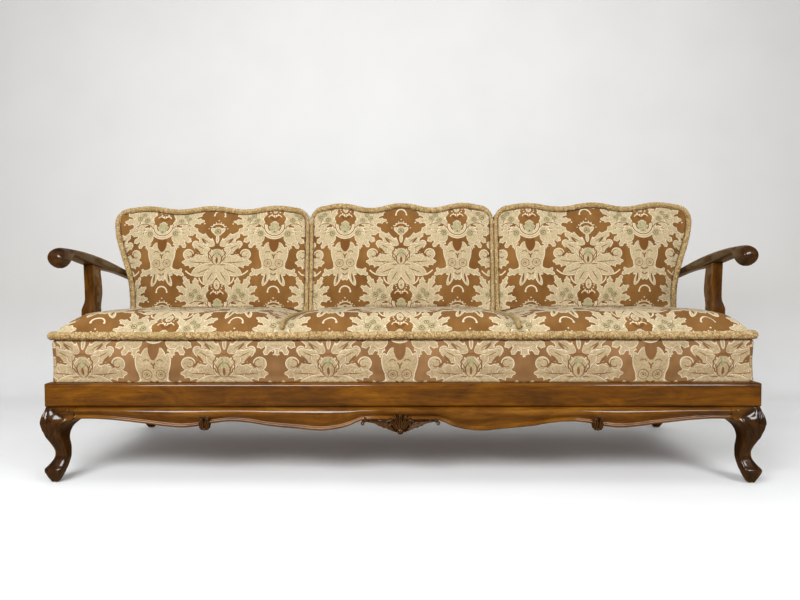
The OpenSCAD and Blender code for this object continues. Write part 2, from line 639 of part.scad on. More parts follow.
module armrest(side) centred() difference() {
    translate([side * arm_x, 0, 0]) mirrored(side) loft([for (s = arm_station_shares) arm_ring(s)]);
    arm_dowel_pins(side, dowel_hole_d, bolt_play);
    screw_place(side) translate([0, 0, -screw_l - bolt_play]) rod(screw_d + 2 * bolt_play, screw_l);
}

module left_armrest() color(walnut_dark) armrest(-1);
module right_armrest() color(walnut_dark) armrest(1);

module arm_dowels() color(beech) centred() for (side = [-1, 1]) arm_dowel_pins(side, dowel_d, 0);

module arm_screws() color(zinc) centred() for (side = [-1, 1]) screw_place(side) {
    translate([0, 0, -screw_l]) rod(screw_d, screw_l - head_h / 4);
    translate([0, 0, -head_h / 2]) rod(screw_head_d, head_h / 2);
}

// Outline of an arm post at one level, as X from the box side outwards and Y
post_chamfer = 4;
post_foot_lift = 12;
post_swell_share = post_shares[0][3];

function post_section(x1, y0, y1) =
    let (c = post_chamfer)
    [[0, y0 + c], [c, y0], [x1 - c, y0], [x1, y0 + c], [x1, y1 - c], [x1 - c, y1], [c, y1], [0, y1 - c]];

function post_ring(s) =
    let (y0 = post_y + post_d * smooth_at(post_shares, s, 1), y1 = post_y + post_d * smooth_at(post_shares, s, 2),
        x1 = post_w * (1 + smooth_at(post_shares, s, 3)))
    [for (p = post_section(x1, y0, y1))
        [p[0], p[1], shoulder_z + (arm_under(p[1]) - shoulder_z) * s]];

block_section = post_section(post_w * (1 + post_swell_share), post_y, post_y + post_d);

module arm_post(side) centred() difference() {
    translate([side * half_w, 0, 0]) mirrored(side) {
        translate([0, 0, base_h + post_foot_lift]) linear_extrude(shoulder_z - base_h - post_foot_lift)
            polygon(block_section);
        loft([for (r = post_shares) post_ring(r[0])]);
    }
    arm_bolt_places(side) translate([0, 0, -rail_t - insert_l - bolt_play])
        rod(insert_d + 2 * bolt_play, insert_l + bolt_play + overrun);
    arm_dowel_pins(side, dowel_hole_d, bolt_play);
}

module left_arm_post() color(walnut_dark) arm_post(-1);
module right_arm_post() color(walnut_dark) arm_post(1);

module arm_bolts() color(zinc) centred() for (side = [-1, 1])
    arm_bolt_places(side) bolt(rail_t + insert_l);

// Threaded insert, its mouth at z = 0
module insert() translate([0, 0, -insert_l]) difference() {
    rod(insert_d, insert_l);
    translate([0, 0, -overrun]) rod(hole_d, insert_l + 2 * overrun);
}

module arm_inserts() color(zinc) centred() for (side = [-1, 1])
    arm_bolt_places(side) translate([0, 0, -rail_t]) insert();

// A place in the raked back: y and z of height h along the rake and depth d behind its front
function raked(h, d) = [back_y + h * sin(rake) + d * cos(rake), box_top + h * cos(rake) - d * sin(rake)];

// Puts the raked back's own frame at the box top: X, depth and height along the rake
module in_back() translate([0, back_y, box_top]) rotate([-rake, 0, 0]) children();

post_foot_z = base_h + brace_t + overrun / 2;

// Side view of a back post up to height h: an upright foot in the box and a raked, tapered shaft
module post_profile(x0, w, h) along_x(x0, w) polygon([[back_y, post_foot_z], [back_y + back_post_d, post_foot_z],
    [back_y + back_post_d, box_top], raked(h, post_depth(h)), raked(h, 0), [back_y, box_top]]);

module back_insert_holes() back_bolt_places()
    translate([0, 0, -rear_rail_t - insert_l - bolt_play])
    rod(insert_d + 2 * bolt_play, insert_l + bolt_play + overrun);

module end_post(side) centred() difference() {
    mirrored(side) post_profile(half_w - end_post_w, end_post_w, end_post_h);
    mirrored(side) translate([inner_x, back_y - overrun, 0]) cube([rail_t + overrun, box_d, box_top]);
    back_insert_holes();
    screw_place(side) {
        translate([0, 0, -screw_l]) rod(screw_d + 2 * bolt_play, screw_l + overrun);
        translate([0, 0, -head_h / 2]) rod(screw_head_d + 2 * bolt_play, head_h);
    }
}

module left_end_post() color(walnut_dark) end_post(-1);
module right_end_post() color(walnut_dark) end_post(1);

// Line of a crest rail before its shoulders, for a bay's middle xc, wave length and mean height
wave_share = 0.68;
outer_mid_x = valley_x + (outer_foot_w + flare) / 2;
outer_wave_l = wave_share * (outer_foot_w + flare) / 2;
mid_wave_l = wave_share * valley_x;
function crest_line(x, xc, l, mean) = mean + crest_wave * cos(360 * (x - xc) / l);
function outer_line(x) = crest_line(x, outer_mid_x, outer_wave_l, crest_h);
function mid_line(x) = crest_line(x, 0, mid_wave_l, crest_h + crest_mid_rise);

// The shoulders next to a middle post start at its side face, partly down their arc
shoulder_lap = 17;
shoulder_a0 = acos(1 - (mid_post_w / 2 - shoulder_lap) / crest_shoulder_r);
shoulder_as = [for (k = [0:5]) shoulder_a0 + (90 - shoulder_a0) * k / 5];
function shoulder_x(a) = mid_post_x + shoulder_lap + crest_shoulder_r * (1 - cos(a));
function shoulder_drop(a) = crest_shoulder_r * (1 - sin(a));
outer_crest_end_h = outer_line(shoulder_x(shoulder_a0)) - shoulder_drop(shoulder_a0);
mid_crest_end_h = mid_line(mid_post_x - mid_post_w / 2) - shoulder_drop(shoulder_a0);
crest_steps = 24;
crest_fillet_r = 18;

// Top of the outer crest rail from the middle post to the outer end, less a depth
function outer_top(low) =
    let (xa = shoulder_x(90), xb = half_w - crest_shoulder_r)
    concat([for (a = shoulder_as) [shoulder_x(a), outer_line(shoulder_x(a)) - shoulder_drop(a) - low]],
        [for (k = [1:crest_steps]) let (x = xa + (xb - xa) * k / crest_steps) [x, outer_line(x) - low]]);

outer_end_arc = [for (a = [75:-15:0]) let (x = half_w - crest_shoulder_r * (1 - cos(a)))
    [x, outer_line(x) - shoulder_drop(a)]];
fillet_x = half_w - end_post_w - crest_fillet_r;
outer_fillet = [for (a = [90:-22.5:0]) let (x = fillet_x + crest_fillet_r * cos(a))
    [x, outer_line(fillet_x) - crest_w - crest_fillet_r * (1 - sin(a))]];

module outer_crest(side) centred() mirrored(side) in_back() upright(crest_t) polygon(concat(
    [for (p = outer_top(crest_w)) if (p[0] < fillet_x) p], outer_fillet,
    [[half_w - end_post_w, end_post_h], [half_w, end_post_h]],
    [for (k = [len(outer_end_arc) - 1:-1:0]) outer_end_arc[k]],
    let (t = outer_top(0)) [for (k = [len(t) - 1:-1:0]) t[k]]));

// Half of the middle crest rail's top, from its end to the middle, less a depth
function mid_top(low) =
    let (xa = 2 * mid_post_x - shoulder_x(90))
    concat([for (a = shoulder_as) let (x = 2 * mid_post_x - shoulder_x(a)) [x, mid_line(x) - shoulder_drop(a) - low]],
        [for (k = [1:crest_steps / 2]) let (x = xa * (1 - 2 * k / crest_steps)) [x, mid_line(x) - low]]);

function flipped(ps) = [for (k = [len(ps) - 1:-1:0]) [-ps[k][0], ps[k][1]]];
function reversed(ps) = [for (k = [len(ps) - 1:-1:0]) ps[k]];
function joined(ps) = concat(ps, [for (k = [1:len(ps) - 1]) flipped(ps)[k]]);

module left_crest_rail() color(walnut_dark) outer_crest(-1);
module right_crest_rail() color(walnut_dark) outer_crest(1);
module middle_crest_rail() color(walnut_dark) centred() in_back() upright(crest_t)
    polygon(concat(joined(mid_top(crest_w)), reversed(joined(mid_top(0)))));

// Middle post: its top follows the crest rails on both sides and dips between them
saddle = 12;
saddle_steps = 8;

module mid_post(side) centred() mirrored(side) difference() {
    intersection() {
        post_profile(mid_post_x - mid_post_w, 2 * mid_post_w, crest_h);
        in_back() translate([0, -box_d, 0]) upright(2 * box_d) polygon(concat(
            [[mid_post_x + mid_post_w / 2, -box_top], [mid_post_x - mid_post_w / 2, -box_top]],
            [for (k = [0:saddle_steps]) let (u = k / saddle_steps)
                [mid_post_x + mid_post_w * (u - 0.5),
                    mid_crest_end_h * (1 - u) + outer_crest_end_h * u - saddle * 4 * u * (1 - u)]]));
    }
    back_insert_holes();
}

module left_mid_post() color(walnut_dark) mid_post(-1);
module right_mid_post() color(walnut_dark) mid_post(1);

module back_bolts() color(zinc) centred() back_bolt_places() bolt(rear_rail_t + insert_l);
module back_inserts() color(zinc) centred() back_bolt_places() translate([0, 0, -rear_rail_t]) insert();

module lower_back_rails() color(walnut_dark) centred() in_back() for (b = bays)
    translate([b[0], 0, low_rail_lift]) cube([b[1], crest_t, low_rail_h]);

// Height of a crest rail's underside over x
function crest_under(x) = (abs(x) < mid_post_x ? mid_line(x) : outer_line(abs(x))) - crest_w;

module back_slats() color(beech) centred() in_back() for (b = bays, k = [0:back_slats_per_bay - 1]) {
    x = b[0] + b[1] * (k + 0.5) / back_slats_per_bay;
    foot = low_rail_lift + low_rail_h;
    top = min([for (u = [-0.5:0.1:0.5]) crest_under(x + u * back_slat_w)]);
    translate([x - back_slat_w / 2, 0, foot]) cube([back_slat_w, back_slat_t, top - foot]);
}

// The fringe lies in a notch of the seam, written in shares of its radius with the clearance: inset, height
notch_r = fringe_r + soft_gap;
seat_fringe_r = seat_fringe_d / 2;
seat_notch_r = seat_fringe_r + soft_gap;
face_rim_shares = [1.1, 0.85];
notch_shares = [1.08, -0.45];
border_rim_share = -1.3;
seat_d = back_y - seat_inset - seat_back_gap;
seat_fringe_z = box_top + seat_fringe_h;
valley_half_w = 60;
end_power = 20;
end_round = 0.33;
front_power = 6;
front_round = 0.42;
rear_power = 3;
crown_half = seat_half - seat_notch_r * face_rim_shares[0];

// Height of the crown at x above the seam, before it falls off to the front and rear
function crown_at(x) = seat_crown * pow(1 - pow(min(abs(x) / crown_half, 1), end_power), end_round)
    - valley_drop * exp(-pow((abs(x) - valley_x) / valley_half_w, 2));

// Height of the mattress top at x and a share v of the way from its front to its rear
function depth_rise(v) = v < 0.5 ? pow(1 - pow(1 - 2 * max(v, 0), front_power), front_round)
    : 1 - pow(2 * v - 1, rear_power);
function seat_top_at(x, v) = seat_fringe_z + seat_notch_r * face_rim_shares[1]
    + crown_at(x) * depth_rise(v);
function seat_top(x, y) =
    let (in = seat_notch_r * face_rim_shares[0]) seat_top_at(x, (y - seat_inset - in) / (seat_d - 2 * in));

// Mattress columns from the middle to the right end: x and front y of an outline grown by e
function seat_column(k, e) =
    let (n = len(inner_column_shares), m = len(outer_column_shares), straight = seat_half - seat_corner_r)
    k == 0 ? [0, seat_inset - e]
    : k <= n ? [valley_x * inner_column_shares[k - 1], seat_inset - e]
    : k <= n + m ? [valley_x + (straight - valley_x) * outer_column_shares[k - n - 1], seat_inset - e]
    : let (a = corner_angles[k - n - m - 1], r = seat_corner_r + e)
        [straight + r * sin(a), seat_inset + seat_corner_r - r * cos(a)];

seat_ks = [for (k = [-(len(inner_column_shares) + len(outer_column_shares) + len(corner_angles)):
    len(inner_column_shares) + len(outer_column_shares) + len(corner_angles)]) k];
seat_rows = len(row_shares) - 1;
seat_cols = len(seat_ks) - 1;

// A point of the mattress plan: column i, row j, outline grown by e
function seat_plan(i, j, e) =
    let (k = seat_ks[i], c = seat_column(abs(k), e), y1 = 2 * seat_inset + seat_d - c[1])
    [sign(k) * c[0], c[1] + (y1 - c[1]) * row_shares[j]];

// Columns and rows round the edge of the mattress
seat_rim = concat([for (i = [0:seat_cols]) [i, 0]], [for (j = [1:seat_rows]) [seat_cols, j]],
    [for (i = [seat_cols - 1:-1:0]) [i, seat_rows]], [for (j = [seat_rows - 1:-1:1]) [0, j]]);

function seat_loop(e, z) = [for (r = seat_rim) let (p = seat_plan(r[0], r[1], e)) [p[0], p[1], z]];

module seat_mattress() color(velour) centred() {
    w = seat_rows + 1;
    n = len(seat_rim);
    grid = [for (i = [0:seat_cols], j = [0:seat_rows]) let (p = seat_plan(i, j, -seat_notch_r * face_rim_shares[0]))
        [p[0], p[1], seat_top_at(p[0], row_shares[j])]];
    loops = [[-seat_notch_r * notch_shares[0], seat_fringe_z + seat_notch_r * notch_shares[1]],
        [0, seat_fringe_z + seat_notch_r * border_rim_share],
        [-drawn_in, (seat_fringe_z + box_top) / 2], [-drawn_in / 2, box_top + soft_gap]];
    points = concat(grid, [for (l = loops) each seat_loop(l[0], l[1])],
        [[0, seat_inset + seat_d / 2, box_top + soft_gap]]);
    tops = [for (i = [0:seat_cols - 1], j = [0:seat_rows - 1])
        let (a = i * w + j, b = a + w) each [[a, a + 1, b + 1], [a, b + 1, b]]];
    g = len(grid);
    ring_at = function (l, k) l == 0 ? seat_rim[k % n][0] * w + seat_rim[k % n][1] : g + (l - 1) * n + k % n;
    walls = [for (l = [0:len(loops) - 1], k = [0:n - 1])
        each [[ring_at(l, k), ring_at(l, k + 1), ring_at(l + 1, k)],
            [ring_at(l, k + 1), ring_at(l + 1, k + 1), ring_at(l + 1, k)]]];
    under = [for (k = [0:n - 1]) [ring_at(len(loops), k), ring_at(len(loops), k + 1), len(points) - 1]];
    polyhedron(points, concat(tops, walls, under));
}

module seat_fringe() color(fringe_gold) centred() {
    path = seat_loop(0, seat_fringe_z);
    few = [for (k = [0:len(path) - 1]) if (norm(path[k] - path[(k + 1) % len(path)]) > seat_fringe_r) path[k]];
    n = len(few);
    sides = 6;
    rings = [for (k = [0:n - 1])
        let (d = few[(k + 1) % n] - few[(k + n - 1) % n], o = cross(d / norm(d), [0, 0, 1]))
        [for (j = [0:sides - 1])
            few[k] + seat_fringe_r * (cos(360 * j / sides) * o - sin(360 * j / sides) * [0, 0, 1])]];
    polyhedron([for (r = rings) each r], [for (k = [0:n - 1], j = [0:sides - 1])
        let (a = k * sides + j, b = k * sides + (j + 1) % sides, c = ((k + 1) % n) * sides + j,
            d = ((k + 1) % n) * sides + (j + 1) % sides) each [[a, d, b], [a, c, d]]]);
}

strip_lift = 1;
strip_shares = [0, 0.02, 0.05, 0.1, 0.17, 0.26, 0.38, 0.52, 0.68, 0.84, 1];
slope_step = 1;
strip_y0 = seat_inset + seat_notch_r * face_rim_shares[0] + strip_d / 2;
strip_l = cushion_y - strip_foot_gap - strip_y0;

// Middle of a strip at depth y, square above the mattress
function strip_point(x, y) =
    let (slope = (seat_top(x, y + slope_step) - seat_top(x, y - slope_step)) / (2 * slope_step),
        k = (strip_d / 2 + strip_lift) / norm([slope, 1])) [x, y - slope * k, seat_top(x, y) + k];

module seat_strips() color(fringe_gold) centred() for (side = [-1, 1])
    loft(tube_rings([for (u = strip_shares) strip_point(side * valley_x, strip_y0 + strip_l * u)],
        [1, 0, 0], strip_d / 2, 6));

// Back cushions: their own frame is X, height along the rake and depth behind the fringe
border_t0 = -notch_r * border_rim_share;
outer_zone_x = (valley_x + seat_half) / 2;
cushion_z = seat_top(outer_zone_x, cushion_y + border_t0 * cos(rake)) + border_t0 * sin(rake) + soft_gap;
rear_crown = (back_y + (cushion_z - box_top) * tan(rake) - cushion_y) * cos(rake) - border_d - soft_gap;
side_gap = 1;

function in_cushion(p, t) = [p[0], cushion_y + p[1] * sin(rake) + t * cos(rake),
    cushion_z + p[1] * cos(rake) - t * sin(rake)];

// Outline of a cushion along the middle of its fringe: left and right foot, flares and crest
cushion_sets = [
    [fringe_r - valley_x - outer_foot_w, -valley_x - side_gap / 2 - fringe_r, flare, 0],
    [-valley_x + side_gap / 2 + fringe_r, valley_x - side_gap / 2 - fringe_r, 0, 0],
    [valley_x + side_gap / 2 + fringe_r, valley_x + outer_foot_w - fringe_r, 0, flare]];
flare_power = 1.25;
foot_steps = 8;
side_steps = 7;
top_steps = 16;
corner_steps = 4;

function flared(f, h, top) = f * ease(pow(max(h, 0) / top, flare_power));

function cushion_outline(k) =
    let (c = cushion_sets[k], mean_h = cushion_hs[k] - fringe_r - wave_hs[k], r = cushion_corner_r - fringe_r,
        xl = c[0] - c[2], xr = c[1] + c[3], xc = (xl + xr) / 2, l = wave_share * (xr - xl) / 2,
        side_top = mean_h - r)
    concat([for (i = [0:foot_steps]) [c[0] + (c[1] - c[0]) * i / foot_steps, 0]],
        [for (i = [1:side_steps]) let (h = side_top * i / side_steps) [c[1] + flared(c[3], h, side_top), h]],
        [for (i = [1:corner_steps]) let (a = 90 * i / corner_steps)
            [xr - r * (1 - cos(a)), side_top + r * sin(a)
                + wave_hs[k] * cos(360 * (xr - r - xc) / l) * i / corner_steps]],
        [for (i = [1:top_steps - 1]) let (x = xr - r - (xr - xl - 2 * r) * i / top_steps)
            [x, mean_h + wave_hs[k] * cos(360 * (x - xc) / l)]],
        [for (i = [corner_steps:-1:1]) let (a = 90 * i / corner_steps)
            [xl + r * (1 - cos(a)), side_top + r * sin(a)
                + wave_hs[k] * cos(360 * (xl + r - xc) / l) * i / corner_steps]],
        [for (i = [side_steps:-1:1]) let (h = side_top * i / side_steps) [c[0] - flared(c[2], h, side_top), h]]);

// The outline moved inwards by a distance, square to its sides
function drawn(ps, e) = let (n = len(ps)) [for (i = [0:n - 1])
    let (a = ps[i] - ps[(i + n - 1) % n], b = ps[(i + 1) % n] - ps[i], u = a / norm(a), v = b / norm(b),
        d = (u + v) / norm(u + v)) ps[i] + e / (u * d) * [-d[1], d[0]]];

function towards(ps, m, u) = [for (p = ps) p + (m - p) * u];

module back_cushion(k) {
    ps = cushion_outline(k);
    rim = drawn(ps, notch_r * face_rim_shares[0]);
    rear = drawn(ps, drawn_in);
    m = [(cushion_sets[k][0] + cushion_sets[k][1]) / 2, cushion_hs[k] / 2];
    t1 = -notch_r * face_rim_shares[1];
    flats = concat(
        [for (s = front_ring_shares) [towards(rim, m, s[0]), t1 - cushion_crown * s[1]]],
        [[rim, t1], [drawn(ps, notch_r * notch_shares[0]), -notch_r * notch_shares[1]],
            [ps, border_t0], [drawn(ps, drawn_in), border_d / 2], [rear, border_d]],
        [for (s = rear_ring_shares) [towards(rear, m, s[0]), border_d + rear_crown * s[1]]]);
    loft([for (f = reversed(flats)) [for (p = f[0]) in_cushion(p, f[1])]]);
}

module back_fringe(k) {
    ps = cushion_outline(k);
    path = [for (i = [foot_steps:len(ps)]) in_cushion(ps[i % len(ps)], 0)];
    loft(tube_rings(path, [0, cos(rake), -sin(rake)], fringe_r, 6));
}

module left_back_cushion() color(velour) centred() back_cushion(0);
module middle_back_cushion() color(velour) centred() back_cushion(1);
module right_back_cushion() color(velour) centred() back_cushion(2);
module left_back_fringe() color(fringe_gold) centred() back_fringe(0);
module middle_back_fringe() color(fringe_gold) centred() back_fringe(1);
module right_back_fringe() color(fringe_gold) centred() back_fringe(2);

front_apron();
rear_apron();
left_apron();
right_apron();
front_left_leg();
front_right_leg();
rear_left_leg();
rear_right_leg();
foot_glides();
shell_carving();
leaf_carvings();
base_cross_rails();
corner_braces();
leg_bolts();
box_front_rail();
box_rear_rail();
box_left_rail();
box_right_rail();
box_dowels();
front_slat_ledge();
rear_slat_ledges();
bed_slats();
left_arm_post();
right_arm_post();
arm_bolts();
arm_inserts();
arm_dowels();
arm_screws();
left_armrest();
right_armrest();
left_end_post();
right_end_post();
left_mid_post();
right_mid_post();
back_bolts();
back_inserts();
left_crest_rail();
middle_crest_rail();
right_crest_rail();
lower_back_rails();
back_slats();
seat_mattress();
seat_fringe();
seat_strips();
left_back_cushion();
middle_back_cushion();
right_back_cushion();
left_back_fringe();
middle_back_fringe();
right_back_fringe();
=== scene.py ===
"""Dresses the packed cabriole sofa: walnut show wood with carving, damask velour and moss fringe."""

import math

import bpy
import numpy as np
from bpy.props import FloatProperty, FloatVectorProperty, IntProperty, PointerProperty
from mathutils import Matrix, Vector, noise


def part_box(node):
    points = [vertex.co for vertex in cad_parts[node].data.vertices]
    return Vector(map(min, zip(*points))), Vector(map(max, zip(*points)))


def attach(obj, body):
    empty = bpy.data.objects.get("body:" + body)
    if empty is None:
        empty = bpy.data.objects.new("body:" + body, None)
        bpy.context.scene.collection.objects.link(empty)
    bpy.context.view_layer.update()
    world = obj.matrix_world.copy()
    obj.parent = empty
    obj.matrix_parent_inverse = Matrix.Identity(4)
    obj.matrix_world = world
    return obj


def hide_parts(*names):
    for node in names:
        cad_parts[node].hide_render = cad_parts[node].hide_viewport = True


bl_info = {
    "name": "Cabriole sofa",
    "version": (1, 0, 0),
    "blender": (4, 5, 0),
    "location": "View3D > Sidebar > Sofa",
    "description": "Builds the looks of a cabriole sofa around its packed frame",
    "category": "Object",
}

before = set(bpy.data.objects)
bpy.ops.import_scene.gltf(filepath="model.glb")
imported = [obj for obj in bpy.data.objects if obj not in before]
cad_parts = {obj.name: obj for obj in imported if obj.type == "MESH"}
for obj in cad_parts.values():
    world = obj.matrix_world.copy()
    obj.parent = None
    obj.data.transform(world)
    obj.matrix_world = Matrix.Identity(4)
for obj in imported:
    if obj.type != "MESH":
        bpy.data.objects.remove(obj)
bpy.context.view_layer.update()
BOX_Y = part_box("box_front_rail")[0].y
MM = 0.001
SIDES = ((-1, "left"), (1, "right"))

# Half of the front apron's lower edge and of a side apron's: share of the half length, share of extra depth
FRONT_EDGE = [(0, 0.13), (0.115, 0.13), (0.16, 0.61), (0.2, 0.88), (0.246, 1), (0.32, 0.82), (0.406, 0.59),
              (0.46, 0.34), (0.524, 0.22), (0.578, 0.38), (0.62, 0.61), (0.668, 0.74), (0.717, 0.65),
              (0.775, 0.44), (0.829, 0.26), (0.888, 0.09), (0.941, 0), (1, 0)]
SIDE_EDGE = [(0, 0.9), (0.16, 0.78), (0.34, 0.24), (0.5, 0.32), (0.64, 0.56), (0.8, 0.24), (0.92, 0), (1, 0)]
# The apron's face: share of the depth, bulge as a share of its reach
FACE = [(0, -0.15), (0.03, 0.12), (0.1, 0.5), (0.26, 0.95), (0.44, 1), (0.66, 0.75), (0.9, 0.2), (1, 0.05)]
# Leg: share of height, outer reach, inner reach, squareness, ridge set-back, knee face; the last two as
# shares of the leg block
LEG = [(0, -0.62, 0.334, 2, 0, 0), (0.03, -0.34, 0.378, 2, 0, 0), (0.06, -0.08, 0.415, 2.1, 0, 0),
       (0.1, 0.19, 0.461, 2.2, 0, 0), (0.136, 0.41, 0.496, 2.3, 0, 0), (0.175, 0.4, 0.531, 2.4, 0, 0),
       (0.22, -0.17, 0.551, 2.5, 0, 0), (0.3, -0.9, 0.582, 2.5, 0, 0), (0.38, -1.05, 0.59, 2.5, 0.01, 0),
       (0.45, -0.79, 0.594, 2.6, 0.03, 0), (0.54, -0.22, 0.574, 2.8, 0.05, 0.011),
       (0.6, 0.21, 0.583, 2.9, 0.07, 0.021), (0.66, 0.51, 0.625, 3, 0.13, 0.032),
       (0.72, 0.8, 0.698, 3.2, 0.18, 0.053), (0.78, 1, 0.83, 3.6, 0.17, 0.074),
       (0.83, 0.95, 0.95, 4.2, 0.06, 0.074), (0.88, 0.73, 1, 5, 0, 0.048), (0.94, 0.32, 1, 6, 0, -0.043),
       (1, -0.03, 1, 7, 0, 0.011)]
SIDE_SQUARENESS = 5
# Armrest: share of length, top and bottom in knob radii, extra width as a share of the knob's, squareness
ARM = [(0, 0.22, -0.22, -0.08, 0), (0.008, 0.55, -0.52, 0.38, 0), (0.024, 0.82, -0.78, 0.755, 0),
       (0.042, 0.95, -0.93, 0.935, 0), (0.058, 1, -1, 1, 0), (0.074, 1.01, -0.92, 0.95, 0),
       (0.09, 1, -0.62, 0.8, 0.1), (0.105, 0.99, -0.16, 0.64, 0.3), (0.12, 0.97, 0.14, 0.54, 0.5),
       (0.16, 0.93, 0.06, 0.51, 0.8), (0.22, 0.84, -0.16, 0.525, 1), (0.3, 0.68, -0.44, 0.54, 1),
       (0.41, 0.4, -0.8, 0.477, 1), (0.5, 0.1, -1.03, 0.345, 1), (0.6, -0.28, -1.22, 0.117, 1),
       (0.7, -0.7, -1.5, 0, 1), (0.85, -1.3, -2.03, 0, 1), (0.985, -1.86, -2.52, 0, 1),
       (1, -1.95, -2.46, -0.05, 1)]
ARM_SECTION = [(-0.85, -1), (0.85, -1), (1, -0.7), (1, 0.3), (0.93, 0.62), (0.72, 0.86), (0.4, 0.97), (0, 1),
               (-0.4, 0.97), (-0.72, 0.86), (-0.93, 0.62), (-1, 0.3), (-1, -0.7)]
# Arm post above its shoulder: share of height, front set-back, rear reach, outer swell
POST = [(0, 0, 1, 0.3), (0.06, 0.02, 0.99, 0.2), (0.2, 0.06, 1.06, 0), (0.42, 0.08, 1.2, 0),
        (0.66, 0.05, 1.14, 0), (0.86, 0.01, 1.03, 0), (1, 0, 1, 0)]
# Shell: lower outline of its ground (share of the half width, height above the boss as a share of the depth)
SHELL_EDGE = [(0, 0), (0.12, 0.06), (0.3, 0.17), (0.5, 0.4), (0.66, 0.54), (0.85, 0.57), (1, 0.52)]
# Carved leaves, in mm and degrees: place from the middle and above the foot, angle, length, width, bend
ACANTHUS = [(13, 6, 62, 57.2, 13.65, 0.3), (21, 13, 50, 44, 11.55, 0.5), (28, 11, 60, 61.6, 9.45, 0.35),
            (36, 19, 44, 28.6, 10.5, 0.7), (46, 21, 54, 33, 10.5, 0.6), (58, 26, 66, 33, 8.4, 0.4),
            (6, 1, 70, 57.2, 7.35, -0.2), (50, 24, 76, 59.4, 6.3, 0.1)]
SMALL_LEAVES = [(-3, 0, -14, 38, 14, 0.3), (4, 0, 13, 41, 14, -0.2), (-5, 0, -34, 29, 12, 0.7),
                (5, 0, 34, 29, 12, -0.7)]
# Scrolls beside the shell, in mm: place as above, radius, thickness, turns, sense, how far they stand out
SCROLLS = [(31, 30, 10.5, 3, 1.5, 1, 5), (104, 36, 7.5, 2.6, 1.4, 1, 2), (107, 26, 5.5, 2.2, 1.1, -1, 2)]

# Shades of each material in sRGB hex, from dark to light
SHADES = {
    "amber": ("#351b00", "#613700", "#855203"), "apron": ("#402201", "#683d04", "#8e5e16"),
    "arm": ("#1b0c01", "#3b2107", "#5c3b14"), "post": ("#291301", "#4f2d06", "#784d12"),
    "dark": ("#160800", "#311902", "#543107"), "beech": ("#a37a49", "#bd955f", "#d0ab78"),
    # carving: painted shade for the ground behind the leaves, three tones of the wood, a painted highlight
    # for the high spots; groove: painted shade in the knees' grooves
    "carving": ("#120701", "#180a01", "#2e1904", "#452908", "#80511c"), "groove": ("#170a02",),
    # fringe: the darker shades are partly painted shade between the tufts
    "fringe": ("#543c1c", "#8f7145", "#b39666", "#dcc79b"), "olive": ("#927c44",),
    "ground": ("#704a20", "#8f6636"), "figure": ("#a8956e", "#ccbb98", "#ded0b0"), "lines": ("#744b22",),
    # border_: the same velour in greyer shades on the upright border, a painted sheen
    "border_ground": ("#7c5935", "#97724b"), "border_figure": ("#a08a66", "#c2b08c", "#dccdb0"),
    "border_lines": ("#7f5b38",), "green": ("#7f7f5c", "#b3ab82"), "steel": ("#b9bcc0",),
    "glide": ("#d8d4c8",)}


# Sizes and colours

def length(name, description, mm):
    """A size in metres, given in millimetres"""
    return FloatProperty(name=name, description=description, default=mm * MM, unit="LENGTH")


class SofaBase(bpy.types.PropertyGroup):
    """Sizes of the aprons and legs"""
    height: length("Base height", "Floor to the top of the base", 222)
    half_width: length("Half width", "Half the width of the seat box", 1030)
    depth: length("Box depth", "Depth of the seat box", 700)
    apron_deep: length("Apron depth", "Greatest depth of the front apron", 66)
    apron_end_deep: length("Apron end depth", "Depth of an apron at its legs", 32)
    apron_back: length("Apron back", "Box face to the back of an apron", 30)
    bulge: length("Apron bulge", "How far the apron face stands out", 10)
    bead: length("Bead", "Diameter of the bead on the apron's edge", 9)
    leg_block: length("Leg block", "Width of the block at the top of a leg", 94)
    knee_reach: length("Knee reach", "How far the knee passes the box", 15)
    knee_groove: length("Knee groove", "Depth of the carving on the knees", 3)
    glide: length("Glide", "Height of a foot glide", 3)


class SofaArms(bpy.types.PropertyGroup):
    """Sizes of the armrests and their posts"""
    post_width: length("Post width", "Width of an arm post from the front", 33)
    post_y: length("Post place", "Box face to the front of a post", 286)
    post_depth: length("Post depth", "Depth of a post at its top", 52)
    shoulder: length("Shoulder", "Height of the post's shoulder", 491)
    post_foot: length("Post foot", "Height of the post's lower end", 234)
    knob_z: length("Knob height", "Height of the knob's middle", 658)
    knob_y: length("Knob place", "Box face to the knob's middle", 130)
    knob_radius: length("Knob radius", "Radius of the scroll knob", 32)
    knob_width: length("Knob width", "Width of the scroll knob", 62)
    knob_out: length("Knob shift", "How far the knob stands outwards", 4.5)
    arm_length: length("Arm length", "Length of an armrest", 592)


class SofaSeat(bpy.types.PropertyGroup):
    """Sizes of the seat mattress"""
    half_width: length("Half width", "Half the length of the border", 1016)
    inset: length("Inset", "Box face to the border", 11)
    depth: length("Depth", "Depth of the border", 596)
    corner: length("Corner radius", "Radius of the border's corners", 18)
    bed: length("Bed", "Height of the slats", 292)
    fringe_height: length("Fringe height", "Height of the fringe's middle", 427)
    crown: length("Crown", "Height of the crown above the seam", 50)
    valley: length("Valley", "Depth of the valleys between the places", 19)
    valley_x: length("Valley place", "Middle to each valley", 342)
    fringe: length("Fringe", "Diameter of the moss fringe", 24)
    strip: length("Strip", "Diameter of the strips across the seat", 18)
    strip_length: length("Strip length", "Length of the strips across the seat", 436)


